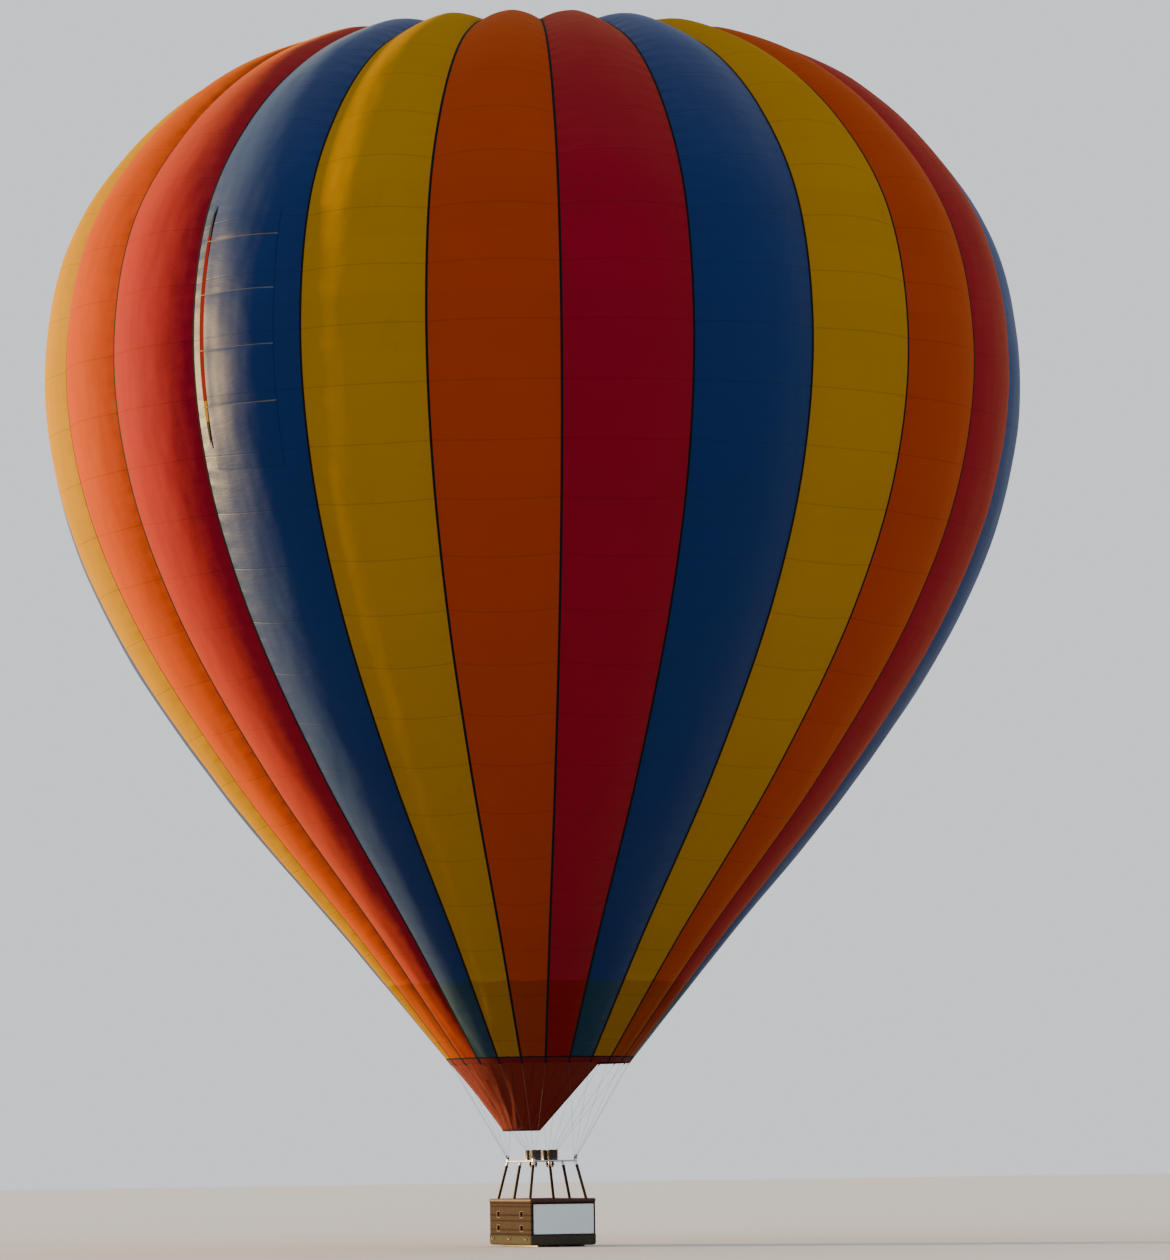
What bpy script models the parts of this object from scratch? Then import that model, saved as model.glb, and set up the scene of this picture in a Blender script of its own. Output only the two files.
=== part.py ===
import math

import bmesh
import bpy
from mathutils import Matrix, Vector

# Every length is in metres, and heights are above the underside of the basket's runners
GAP = 0.0003

# Envelope: the line of the load tapes, from the mouth up to the crown ring, as (height, radius)
TAPE_LINE = (
    (4.65, 2.30), (7.66, 4.63), (11.70, 7.93), (15.70, 10.56), (19.00, 11.93), (22.30, 12.385),
    (25.50, 11.82), (27.84, 10.36), (29.55, 8.45), (30.55, 6.30), (30.98, 4.30), (31.17, 2.20), (31.22, 0.20),
)
EQUATOR_HEIGHT = 22.30
GORES = 24
FIRST_TAPE_AZIMUTH = math.radians(-15)
GORE_COLOURS = ("crimson", "blue", "yellow", "orange")
GORE_ROWS = 15
GORE_COLUMNS = (-1.0, -0.65, 0.0, 0.65, 1.0)
BULGE = 0.25
BULGE_RUN_AT_MOUTH = 3.0
BULGE_RUN_AT_VENT = 1.6
CLOTH = 0.010

# Load tapes, mouth band, vent edge and crown
TAPE_WIDTH = 0.050
TAPE_PROUD = 0.003
TAPE_INSIDE = 0.011
BAND_HEIGHT = 0.20
VENT_RADIUS = 4.30
VENT_EDGE_WIDTH = 0.12
CROWN_RING_RADIUS = 0.26
CROWN_TAPE_WIDTH = 0.08
CROWN_ROWS = 4
CROWN_TUBE = 0.012

# Parachute vent: a disc of cloth that closes the crown from inside
VENT_OVERLAP = 0.40
VENT_CLEAR = 0.010
VENT_HUB = 0.30

# Turning vents: a flap panel over a slit on two opposite blue gores, from one row of the gore to another
TURNING_GORES = ((21, 1), (9, -1))
TURNING_ROWS = (8, 11)
TURNING_SPAN = (17.4, 23.7)
FLAP_CLOTH = 0.006
FLAP_GAP = 0.0006
FLAP_LIFT = 0.09

# Scoop: the cloth that hangs under the windward side of the mouth
SCOOP_FIRST_GORE = 2
SCOOP_GORES = 14
SCOOP_TOP_ON_BAND = 0.10
SCOOP_BOTTOM_HEIGHT = 2.95
SCOOP_BOTTOM_RADIUS = 0.98
SCOOP_BOTTOM_SPAN = math.radians(124)
SCOOP_ROWS = 5

# Basket, with its long side along local X, which points to the near end at minus Y
BASKET_YAW = math.radians(-90)
BASKET_HALF_LENGTH = 1.73
BASKET_HALF_WIDTH = 0.87
BASKET_CORNER = 0.08
CORNER_STEPS = 4
WALL = 0.045
FLOOR_BOTTOM = 0.055
FLOOR_TOP = 0.085
FLOOR_INSET = 0.020
RUNNER_WIDTH = 0.09
RUNNER_LENGTH = 3.0
RUNNER_SPREAD = 0.58
WALL_TOP = 1.12
RIM_TOP = 1.22
RIM_PROUD = 0.02
RIM_INSIDE = 0.06
HIDE_TOP = 0.31
HIDE = 0.009
HIDE_TUCK = 0.08
STEP_HOLE = (0.24, 0.15)
STEP_HOLE_HEIGHTS = (0.47, 0.82)
STEP_HOLE_PLACES = (-0.95, 0.95)
BANNER = (1.60, 0.75, 0.005)
BANNER_BOTTOM = 0.325
PARTITION = 0.05
PARTITION_TOP = 1.05
PILOT_BAY_HALF = 0.45

# Fuel cylinders
CYLINDER_RADIUS = 0.18
CYLINDER_HEIGHT = 0.95
CYLINDER_PLACES = ((0.20, 0.62), (0.20, -0.62), (-0.20, 0.62), (-0.20, -0.62))
CYLINDER_SIDES = 14

# Uprights and burner frame
FRAME_HEIGHT = 2.17
FRAME_HALF_LENGTH = 1.05
FRAME_HALF_WIDTH = 0.565
FRAME_TUBE = 0.022
LUG = (0.07, 0.07, 0.06)
LUG_DROP = 0.026
SOCKET_LENGTH = 0.11
SOCKET_RADIUS = 0.036
UPRIGHT_RADIUS = 0.041
UPRIGHT_FOOT = (1.343, 0.776, 1.068)
FOOT_BLOCK = (0.10, 0.086, 0.06)
UPRIGHTS = (("near_right", 1, 1), ("near_left", 1, -1), ("middle_right", 0, 1),
            ("middle_left", 0, -1), ("far_right", -1, 1), ("far_left", -1, -1))

# Gimbal and burners
RING_HALF_LENGTH = 0.50
RING_HALF_WIDTH = 0.485
RING_TUBE = 0.026
PIN_RADIUS = 0.011
BLOCK_HALF = 0.41
BLOCK_BAR = 0.05
SEAT_TOP = 0.015
BURNER_SPACING = 0.225
COIL_RADIUS = 0.155
COIL_TURNS = 5
COIL_SPLIT = 14
CAN_HEIGHT = 0.29
VALVE_DROP = 0.16

# Flying wires
WIRE = 0.006
WIRE_PLATE = (0.125, 0.024, 0.035)
WIRE_STEP = 0.020
WIRES_PER_CORNER = 6
CORNERS = (("near_right", 1, 1), ("far_right", -1, 1), ("far_left", -1, -1), ("near_left", 1, -1))
FIRST_WIRE_TAPE = 1


def clear_scene():
    for thing in list(bpy.data.objects):
        bpy.data.objects.remove(thing, do_unlink=True)


def material(name, colour, roughness, metallic=0.0):
    finish = bpy.data.materials.new(name)
    finish.use_nodes = True
    shader = finish.node_tree.nodes["Principled BSDF"]
    shader.inputs["Base Color"].default_value = (*colour, 1.0)
    shader.inputs["Roughness"].default_value = roughness
    shader.inputs["Metallic"].default_value = metallic
    return finish


def empty(name, parent=None, location=(0, 0, 0), turn=0.0):
    thing = bpy.data.objects.new(name, None)
    bpy.context.scene.collection.objects.link(thing)
    thing.parent = parent
    thing.location = location
    thing.rotation_euler = (0, 0, turn)
    return thing


def add(name, bm, finish, parent, location=(0, 0, 0)):
    """Turn a bmesh into a shaded object on its parent."""
    bmesh.ops.recalc_face_normals(bm, faces=bm.faces)
    mesh = bpy.data.meshes.new(name)
    bm.to_mesh(mesh)
    bm.free()
    mesh.shade_smooth()
    mesh.set_sharp_from_angle(angle=math.radians(35))
    mesh.materials.append(finish)
    thing = bpy.data.objects.new(name, mesh)
    bpy.context.scene.collection.objects.link(thing)
    thing.parent = parent
    thing.location = location
    return thing


def boolean(target, operation, helper):
    """Cut or join with a helper solid, which stays hidden."""
    change = target.modifiers.new(operation.title(), "BOOLEAN")
    change.operation = operation
    change.solver = "EXACT"
    change.object = helper
    helper.hide_render = True
    helper.display_type = "WIRE"


def outward(azimuth):
    return Vector((math.sin(azimuth), -math.cos(azimuth), 0))


def sideways(azimuth):
    return Vector((math.cos(azimuth), math.sin(azimuth), 0))


def tape_azimuth(index):
    return FIRST_TAPE_AZIMUTH + index * math.tau / GORES


# The tape line as a smooth curve


def smooth_line(knots, steps=24):
    """A centripetal Catmull-Rom curve through the knots, as many short steps."""
    first = [2 * a - b for a, b in zip(knots[0], knots[1])]
    last = [2 * a - b for a, b in zip(knots[-1], knots[-2])]
    points = [Vector((*p, 0)) for p in [first, *knots, last]]
    line = []
    for a, b, c, d in zip(points, points[1:], points[2:], points[3:]):
        t1 = (b - a).length ** 0.5
        t2 = t1 + (c - b).length ** 0.5
        t3 = t2 + (d - c).length ** 0.5
        for i in range(steps):
            t = t1 + (t2 - t1) * i / steps
            low = a.lerp(b, t / t1)
            middle = b.lerp(c, (t - t1) / (t2 - t1))
            high = c.lerp(d, (t - t2) / (t3 - t2))
            lower = low.lerp(middle, t / t2)
            upper = middle.lerp(high, (t - t1) / (t3 - t1))
            line.append(lower.lerp(upper, (t - t1) / (t2 - t1)))
    line.append(points[-2])
    return line


LINE = smooth_line(TAPE_LINE)
REACH = [0.0]
for before, after in zip(LINE, LINE[1:]):
    REACH.append(REACH[-1] + (after - before).length)


def on_line(distance):
    """Height, radius and outward normal (radial, upward) at a distance along the tape line."""
    i = max(j for j in range(len(LINE) - 1) if j == 0 or REACH[j] <= distance)
    a, b = LINE[i], LINE[i + 1]
    place = a.lerp(b, (distance - REACH[i]) / (REACH[i + 1] - REACH[i]))
    before, after = LINE[max(i - 1, 0)], LINE[min(i + 2, len(LINE) - 1)]
    rise = (after - before).normalized()
    return place.x, place.y, (rise.x, -rise.y)


def distance_at_radius(radius):
    """Distance along the tape line where the crown narrows to a radius."""
    i = next(j for j in range(len(LINE) - 1, 0, -1) if LINE[j].y >= radius)
    share = (LINE[i].y - radius) / (LINE[i].y - LINE[i + 1].y)
    return REACH[i] + share * (REACH[i + 1] - REACH[i])


VENT_EDGE = distance_at_radius(VENT_RADIUS)
GORE_START = BAND_HEIGHT + GAP
GORE_END = VENT_EDGE - VENT_EDGE_WIDTH - GAP
EQUATOR = REACH[min(range(len(LINE)), key=lambda i: abs(LINE[i].x - EQUATOR_HEIGHT))]


def spread(first, last, count):
    return [first + (last - first) * i / count for i in range(count + 1)]


def bulge_at(distance, radius):
    """How far the middle of a gore stands out from the circle through the tapes."""
    widest = TAPE_LINE[5][1]
    fullness = radius / widest if distance < EQUATOR else 1.0
    at_mouth = min(1.0, max(0.0, distance - GORE_START) / BULGE_RUN_AT_MOUTH)
    at_vent = min(1.0, max(0.0, GORE_END - distance) / BULGE_RUN_AT_VENT)
    return BULGE * fullness * math.sin(at_mouth * math.pi / 2) * math.sin(at_vent * math.pi / 2)


def beside_tape(index, distance, side, depth, clearance=0.0):
    """A point level with the edge of a tape, on one side of it."""
    height, radius, normal = on_line(distance)
    azimuth = tape_azimuth(index)
    out = outward(azimuth) * (radius + depth * normal[0])
    across = sideways(azimuth) * side * (TAPE_WIDTH / 2 + clearance)
    return out + across + Vector((0, 0, height + depth * normal[1]))


def on_gore(index, across, distance, depth):
    """A point on a gore, across from -1 at its left tape to 1 at its right one."""
    if abs(across) == 1:
        tape = index if across < 0 else index + 1
        return beside_tape(tape, distance, -across, depth, GAP)
    height, radius, normal = on_line(distance)
    depth = depth + bulge_at(distance, radius) * (1 - across**2)
    azimuth = tape_azimuth(index + (1 + across) / 2)
    return outward(azimuth) * (radius + depth * normal[0]) + Vector((0, 0, height + depth * normal[1]))


def sheet(outer, inner, wrap=False):
    """A closed sheet between two grids of points, which may run round in a ring."""
    bm = bmesh.new()
    faces = [[[bm.verts.new(p) for p in row] for row in grid] for grid in (outer, inner)]
    rows, columns = len(outer), len(outer[0])
    around = columns if wrap else columns - 1
    for side, grid in enumerate(faces):
        for i in range(rows - 1):
            for j in range(around):
                k = (j + 1) % columns
                a, b, c, d = grid[i][j], grid[i][k], grid[i + 1][k], grid[i + 1][j]
                for corners in ((a, b, c), (a, c, d)):
                    bm.faces.new(corners if side == 0 else corners[::-1])
    top, under = faces
    for i in (0, rows - 1):
        for j in range(around):
            k = (j + 1) % columns
            bm.faces.new((top[i][j], top[i][k], under[i][k], under[i][j]))
    for j in () if wrap else (0, columns - 1):
        for i in range(rows - 1):
            bm.faces.new((top[i][j], top[i + 1][j], under[i + 1][j], under[i][j]))
    return bm


# Envelope


def gore_rows(start, end):
    """Distances of a gore's rows, even in three runs: under, beside and over the turning vents."""
    low, high = TURNING_ROWS
    under = spread(start, TURNING_SPAN[0], low)
    beside = spread(*TURNING_SPAN, high - low)
    return [*under, *beside[1:], *spread(TURNING_SPAN[1], end, GORE_ROWS - high)[1:]]


def build_gores(parent, finishes):
    distances = gore_rows(GORE_START, GORE_END)
    for index in range(GORES):
        colour = GORE_COLOURS[index % len(GORE_COLOURS)]
        outer = [[on_gore(index, u, s, 0) for u in GORE_COLUMNS] for s in distances]
        inner = [[on_gore(index, u, s, -CLOTH) for u in GORE_COLUMNS] for s in distances]
        add(f"gore_{index + 1:02d}_{colour}", sheet(outer, inner), finishes[colour], parent)


def tape_rows():
    """Distances along the tape line of the rows that the tapes have points at, up to the crown."""
    rows = gore_rows(GORE_START - GAP, GORE_END + GAP)
    crown_out = distance_at_radius(CROWN_RING_RADIUS + CROWN_TAPE_WIDTH / 2)
    crown_in = distance_at_radius(CROWN_RING_RADIUS - CROWN_TAPE_WIDTH / 2)
    return [BAND_HEIGHT + GAP, *rows[1:], *spread(VENT_EDGE, crown_out, CROWN_ROWS), crown_in]


def build_mouth_band(parent, finish):
    """The tape round the mouth, which the load tapes and the gores are sewn to."""
    grids = []
    for depth in (TAPE_PROUD, -TAPE_INSIDE):
        grid = []
        for s in (0.0, BAND_HEIGHT):
            grid.append([on_band(k, u, s, depth) for k in range(GORES) for u in GORE_COLUMNS[:-1]])
        grids.append(grid)
    add("mouth_band", sheet(*grids, wrap=True), finish, parent)


def build_load_tapes(parent, finish):
    """One cage: the 24 tapes from the mouth band to the crown, with the vent edge tape and the crown tape."""
    distances = tape_rows()
    vent_row = GORE_ROWS
    crown_row = len(distances) - 2
    banded = {vent_row: GORE_COLUMNS, crown_row: (-1, 1)}
    bm = bmesh.new()
    layers = []
    for depth in (TAPE_PROUD, -TAPE_INSIDE):
        tapes = [[[bm.verts.new(beside_tape(k, s, side, depth)) for side in (-1, 1)]
                  for s in distances] for k in range(GORES)]
        bands = {}
        for start, columns in banded.items():
            for row in (start, start + 1):
                middles = [[bm.verts.new(on_band(k, u, distances[row], depth)) for u in columns[1:-1]]
                           for k in range(GORES)]
                bands[row] = [[tapes[k][row][1], *middles[k], tapes[(k + 1) % GORES][row][0]]
                              for k in range(GORES)]
        layers.append((tapes, bands))
    quads = []
    for tapes, bands in layers:
        layer = [(t[i][0], t[i][1], t[i + 1][1], t[i + 1][0])
                 for t in tapes for i in range(len(distances) - 1)]
        for start in banded:
            for k in range(GORES):
                low, high = bands[start][k], bands[start + 1][k]
                layer += [(low[j], low[j + 1], high[j + 1], high[j]) for j in range(len(low) - 1)]
        quads.append(layer)
    for over, under in zip(*quads):
        bm.faces.new((over[0], over[1], over[2]))
        bm.faces.new((over[0], over[2], over[3]))
        bm.faces.new((under[2], under[1], under[0]))
        bm.faces.new((under[3], under[2], under[0]))
    partner = {a: b for over, under in zip(*quads) for a, b in zip(over, under)}
    for edge in [e for e in bm.edges if len(e.link_faces) == 1 and e.verts[0] in partner]:
        a, b = edge.verts
        bm.faces.new((a, b, partner[b], partner[a]))
    add("load_tapes", bm, finish, parent)


def on_band(index, across, distance, depth):
    """A point of a band between two tapes, on the circle through them."""
    height, radius, normal = on_line(distance)
    azimuth = tape_azimuth(index + (1 + across) / 2)
    return outward(azimuth) * (radius + depth * normal[0]) + Vector((0, 0, height + depth * normal[1]))


def on_straight_tape(distance):
    """The same as on_line, but on the straight run of tape between two of its rows."""
    rows = tape_rows()
    i = max(j for j in range(len(rows) - 1) if j == 0 or rows[j] <= distance)
    share = (distance - rows[i]) / (rows[i + 1] - rows[i])
    low, high = on_line(rows[i]), on_line(rows[i + 1])
    height, radius = (a + (b - a) * share for a, b in zip(low[:2], high[:2]))
    return height, radius, [a + (b - a) * share for a, b in zip(low[2], high[2])]


def build_crown_ring(parent, finish):
    """The metal ring that the tapes come together on, lying on top of the crown tape."""
    height = on_line(distance_at_radius(CROWN_RING_RADIUS))[0] + TAPE_PROUD + CROWN_TUBE
    bm = bmesh.new()
    section = []
    for i in range(6):
        turn = math.tau * (i + 0.5) / 6
        section.append(bm.verts.new((CROWN_RING_RADIUS + CROWN_TUBE * math.cos(turn), 0,
                                     CROWN_TUBE * math.sin(turn))))
    loop = [bm.edges.new((a, b)) for a, b in zip(section, section[1:] + section[:1])]
    bmesh.ops.spin(bm, geom=section + loop, cent=(0, 0, 0), axis=(0, 0, 1), angle=math.tau, steps=24,
                   use_merge=True)
    bmesh.ops.remove_doubles(bm, verts=bm.verts, dist=GAP / 3)
    add("crown_ring", bm, finish, parent, (0, 0, height + 2 * GAP))


def build_parachute_vent(parent, finish):
    """The disc under the crown: its hem lies against the vent edge, the rest hangs just clear of the tapes."""
    hem = VENT_EDGE - VENT_EDGE_WIDTH / 2
    outside = VENT_EDGE - VENT_OVERLAP
    distances = [outside, hem, *tape_rows()[1 + GORE_ROWS:-1]]
    azimuths = [tape_azimuth(k) for k in range(GORES)]
    grids = []
    for thickness in (0, CLOTH):
        grid = []
        for s in distances:
            height, radius, normal = on_straight_tape(s)
            clear = GAP if s == hem else VENT_CLEAR
            depth = -TAPE_INSIDE - clear - thickness
            grid.append([outward(a) * (radius + depth * normal[0]) + Vector((0, 0, height + depth * normal[1]))
                         for a in azimuths])
        grids.append(grid)
    bm = sheet(*grids, wrap=True)
    hub = [f for f in bm.faces if len(f.verts) == 4 and all(v.co.xy.length < VENT_HUB + 0.05 for v in f.verts)]
    bmesh.ops.delete(bm, geom=hub, context="FACES_ONLY")
    bmesh.ops.holes_fill(bm, edges=[e for e in bm.edges if e.is_boundary], sides=0)
    add("parachute_vent", bm, finish, parent)


def build_turning_vents(parent, finish):
    """A flap panel on the outside of a gore, sewn down on three sides and lifted along its slit."""
    distances = gore_rows(GORE_START, GORE_END)[TURNING_ROWS[0]:TURNING_ROWS[1] + 1]
    for number, (index, side) in enumerate(TURNING_GORES):
        grids = []
        for depth in (FLAP_GAP + FLAP_CLOTH, FLAP_GAP):
            grid = []
            for row, s in enumerate(distances):
                open_edge = FLAP_LIFT if 0 < row < len(distances) - 1 else 0.0
                lifts = (open_edge, 0.0, 0.0) if side > 0 else (0.0, 0.0, open_edge)
                grid.append([on_gore(index, u, s, depth + lift)
                             for u, lift in zip(GORE_COLUMNS[1:-1], lifts)])
            grids.append(grid)
        add(f"turning_vent_{'left' if number == 0 else 'right'}", sheet(*grids), finish, parent)


def build_scoop(parent, finish):
    """Cloth from the inside of the mouth band down to a short lower edge over the burners."""
    columns = 2 * SCOOP_GORES
    first = tape_azimuth(SCOOP_FIRST_GORE + 0.5)
    middle = first - SCOOP_GORES * math.pi / GORES
    grids = []
    for thickness in (0, CLOTH):
        depth = -TAPE_INSIDE - GAP - thickness
        grid = []
        for s in (SCOOP_TOP_ON_BAND, 0.0):
            height, radius, normal = on_line(s)
            grid.append([outward(first - math.pi / GORES * j) * (radius + depth * normal[0])
                         + Vector((0, 0, height + depth * normal[1])) for j in range(columns + 1)])
        for row in range(1, SCOOP_ROWS + 1):
            down = row / SCOOP_ROWS
            line = []
            for j, top in enumerate(grid[1]):
                azimuth = middle + SCOOP_BOTTOM_SPAN * (0.5 - j / columns)
                bottom = outward(azimuth) * (SCOOP_BOTTOM_RADIUS - thickness)
                bottom.z = SCOOP_BOTTOM_HEIGHT
                line.append(top.lerp(bottom, down))
            grid.append(line)
        grids.append(grid)
    add("scoop", sheet(*grids), finish, parent)


# Flying wires


def build_flying_wires(parent, finish):
    """Six wires from six tape ends down to one plate on each corner of the burner frame."""
    turn = Matrix.Rotation(BASKET_YAW, 4, "Z")
    for quarter, (name, along, across) in enumerate(CORNERS):
        corner = turn @ Vector((along * FRAME_HALF_LENGTH, across * FRAME_HALF_WIDTH, 0))
        corner.z = FRAME_HEIGHT + LUG[2] + GAP
        first = FIRST_WIRE_TAPE + quarter * WIRES_PER_CORNER
        ends = [tape_end(k) for k in range(first, first + WIRES_PER_CORNER)]
        bearing = (ends[-1][0] - ends[0][0]).xy.normalized()
        direction = Vector((*bearing, 0))
        width = Vector((-bearing.y, bearing.x, 0))
        bm = bmesh.new()
        half, thick, height = WIRE_PLATE[0] / 2, WIRE_PLATE[1] / 2, WIRE_PLATE[2]
        under = [bm.verts.new(corner + direction * a + width * b)
                 for a, b in ((-half, -thick), (half, -thick), (half, thick), (-half, thick))]
        base = bm.faces.new(under)
        raised = bmesh.ops.extrude_face_region(bm, geom=[base])
        top = next(g for g in raised["geom"] if isinstance(g, bmesh.types.BMFace))
        bmesh.ops.translate(bm, verts=top.verts, vec=(0, 0, height))
        bm.faces.remove(top)
        edge = [v for v in bm.verts if v.co.z > corner.z + height / 2]
        squares = []
        for i, (end, rise) in enumerate(ends):
            centre = corner + direction * WIRE_STEP * (i - (WIRES_PER_CORNER - 1) / 2)
            centre.z += height
            foot = [bm.verts.new(centre + direction * a * WIRE / 2 + width * b * WIRE / 2)
                    for a, b in ((-1, -1), (1, -1), (1, 1), (-1, 1))]
            run = end - centre
            head = [bm.verts.new(v.co + run * ((end - v.co).dot(rise) - GAP) / run.dot(rise)) for v in foot]
            for j in range(4):
                bm.faces.new((foot[j], foot[(j + 1) % 4], head[(j + 1) % 4], head[j]))
            bm.faces.new(head)
            squares.append(foot)
        rim = sorted(edge, key=lambda v: ((v.co - corner).dot(direction) > 0, (v.co - corner).dot(width)))
        fill_plate_top(bm, rim, squares)
        add(f"flying_wires_{name}", bm, finish, parent)


def fill_plate_top(bm, rim, squares):
    """The top of a wire plate, as strips round the feet of its wires."""
    left_low, left_high, right_low, right_high = rim
    low, high = left_low, left_high
    previous = None
    for foot in squares:
        a, b, c, d = foot
        if previous is None:
            bm.faces.new((low, a, d, high))
        else:
            bm.faces.new((previous[1], a, d, previous[2]))
        previous = foot
    bm.faces.new((previous[1], right_low, right_high, previous[2]))
    bm.faces.new([low, right_low] + [v for foot in reversed(squares) for v in (foot[1], foot[0])])
    bm.faces.new([right_high, high] + [v for foot in squares for v in (foot[3], foot[2])])


def tape_end(index):
    """The lower end of a tape's line at the mouth, and the direction that the tape rises in from there."""
    height, radius, normal = on_line(0)
    depth = (TAPE_PROUD - TAPE_INSIDE) / 2
    out = outward(tape_azimuth(index))
    place = out * (radius + depth * normal[0]) + Vector((0, 0, height + depth * normal[1]))
    return place, Vector((0, 0, normal[0])) - out * normal[1]


# Burner frame, gimbal and burners


def box(name, size, finish, parent, centre):
    bm = bmesh.new()
    bmesh.ops.create_cube(bm, size=1)
    bmesh.ops.scale(bm, verts=bm.verts, vec=size)
    return add(name, bm, finish, parent, centre)


def rod(name, start, end, radius, finish, parent, sides=12):
    """A round bar between two points."""
    start, end = Vector(start), Vector(end)
    bm = bmesh.new()
    bmesh.ops.create_cone(bm, cap_ends=True, segments=sides, radius1=radius, radius2=radius,
                          depth=(end - start).length)
    thing = add(name, bm, finish, parent, (start + end) / 2)
    thing.rotation_mode = "QUATERNION"
    thing.rotation_quaternion = (end - start).to_track_quat("Z", "Y")
    return thing


def upright_line(along, across):
    top = Vector((along * FRAME_HALF_LENGTH, across * FRAME_HALF_WIDTH, FRAME_HEIGHT))
    foot = Vector((along * UPRIGHT_FOOT[0], across * UPRIGHT_FOOT[1], UPRIGHT_FOOT[2]))
    return top, foot


def build_burner_frame(parent, finish):
    """A rectangle of tube with a lug on each corner, six sockets below and two bosses for the gimbal."""
    length, width, z = FRAME_HALF_LENGTH, FRAME_HALF_WIDTH, FRAME_HEIGHT
    frame = rod("burner_frame", (-length - FRAME_TUBE, width, z), (length + FRAME_TUBE, width, z),
                FRAME_TUBE, finish, parent)
    pieces = [rod("frame_side", (-length - FRAME_TUBE, -width, z), (length + FRAME_TUBE, -width, z),
                  FRAME_TUBE, finish, parent)]
    for along in (-1, 1):
        pieces.append(rod("frame_end", (along * length, -width, z), (along * length, width, z),
                          FRAME_TUBE * 0.97, finish, parent))
    for _, along, across in CORNERS:
        pieces.append(box("frame_lug", (LUG[0], LUG[1], LUG[2] + LUG_DROP), finish, parent,
                          (along * length, across * width, z + (LUG[2] - LUG_DROP) / 2)))
    for _, along, across in UPRIGHTS:
        top, foot = upright_line(along, across)
        reach = (foot - top).normalized() * SOCKET_LENGTH
        pieces.append(rod("frame_socket", top, top + reach, SOCKET_RADIUS, finish, parent))
    for across in (-1, 1):
        boss_end = RING_HALF_WIDTH + RING_TUBE / 2 + 0.006
        pieces.append(rod("frame_boss", (0, across * boss_end, z), (0, across * width, z),
                          PIN_RADIUS * 1.8, finish, parent))
    for piece in pieces:
        boolean(frame, "UNION", piece)


def rectangle_ring(name, half_length, half_width, bar, finish, parent):
    """A flat ring of square bar about its own centre."""
    half = bar / 2
    grids = []
    for grow in (half, -half):
        corners = [(half_length + grow, half_width + grow), (-half_length - grow, half_width + grow),
                   (-half_length - grow, -half_width - grow), (half_length + grow, -half_width - grow)]
        grids.append([[Vector((*c, z)) for c in corners] for z in (-half, half)])
    return add(name, sheet(*grids, wrap=True), finish, parent)


def build_gimbal(parent, finish):
    """The outer ring of the gimbal, with a pin each side that ends in the frame's bosses."""
    ring = rectangle_ring("gimbal_ring", RING_HALF_LENGTH, RING_HALF_WIDTH, RING_TUBE, finish, parent)
    for across in (-1, 1):
        start = RING_HALF_WIDTH + RING_TUBE / 2
        boolean(ring, "UNION", rod("ring_pin", (0, across * (start - 0.01), 0),
                                   (0, across * (start + 0.006 - GAP), 0), PIN_RADIUS, finish, parent))
    for along in (-1, 1):
        inside = RING_HALF_LENGTH - RING_TUBE / 2
        boolean(ring, "UNION", rod("ring_boss", (along * (inside + 0.005), 0, 0),
                                   (along * (inside - 0.03), 0, 0), PIN_RADIUS * 1.6, finish, parent))


def build_burner_block(parent, finish):
    """The frame that carries four burners, with its valve body and a grip under each of them."""
    bar = BLOCK_BAR
    half = BLOCK_HALF - bar / 2
    block = rectangle_ring("burner_block", half, half, bar * 0.8, finish, parent)
    pieces = [box("block_bar", (2 * half, bar, bar * 0.7), finish, parent, (0, 0, 0)),
              box("block_bar", (bar, 2 * half, bar * 0.7), finish, parent, (0, 0, 0))]
    pin_end = RING_HALF_LENGTH - RING_TUBE / 2 - 0.03 - GAP
    for side in (-1, 1):
        pieces.append(rod("block_pin", (side * (half - 0.01), 0, 0), (side * pin_end, 0, 0),
                          PIN_RADIUS, finish, parent))
        pieces.append(box("seat_bar", (2 * half, 0.09, 2 * SEAT_TOP), finish, parent,
                          (0, side * BURNER_SPACING, 0)))
        for end in (-1, 1):
            x, y = end * BURNER_SPACING, side * BURNER_SPACING
            pieces.append(rod("valve_body", (x, y, -VALVE_DROP), (x, y, SEAT_TOP / 2), 0.036, finish, parent, 10))
            pieces.append(box("valve_lever", (0.15, 0.022, 0.016), finish, parent,
                              (x - end * 0.085, y, -VALVE_DROP * 0.8)))
    for piece in pieces:
        boolean(block, "UNION", piece)


def build_burner(name, parent, finish, place):
    """One burner: the coil of the vaporiser round its can, as one turned solid with a rib for each turn."""
    bottom = SEAT_TOP + GAP
    pitch = CAN_HEIGHT / COIL_TURNS
    outline = [(0.05, bottom), (COIL_RADIUS - 0.03, bottom)]
    for turn in range(COIL_TURNS):
        low = bottom + turn * pitch
        outline += [(COIL_RADIUS, low + pitch * 0.25), (COIL_RADIUS, low + pitch * 0.75),
                    (COIL_RADIUS - 0.012, low + pitch)]
    top = bottom + CAN_HEIGHT
    outline += [(COIL_RADIUS - 0.03, top), (COIL_RADIUS - 0.03, bottom + 0.05), (0.05, bottom + 0.05)]
    bm = bmesh.new()
    verts = [bm.verts.new((r, 0, z)) for r, z in outline]
    loop = [bm.edges.new((a, b)) for a, b in zip(verts, verts[1:] + verts[:1])]
    bmesh.ops.spin(bm, geom=verts + loop, cent=(0, 0, 0), axis=(0, 0, 1), angle=math.tau,
                   steps=COIL_SPLIT, use_merge=True)
    bmesh.ops.remove_doubles(bm, verts=bm.verts, dist=GAP / 3)
    add(name, bm, finish, parent, (place[0], place[1], 0))


# Basket


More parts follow.
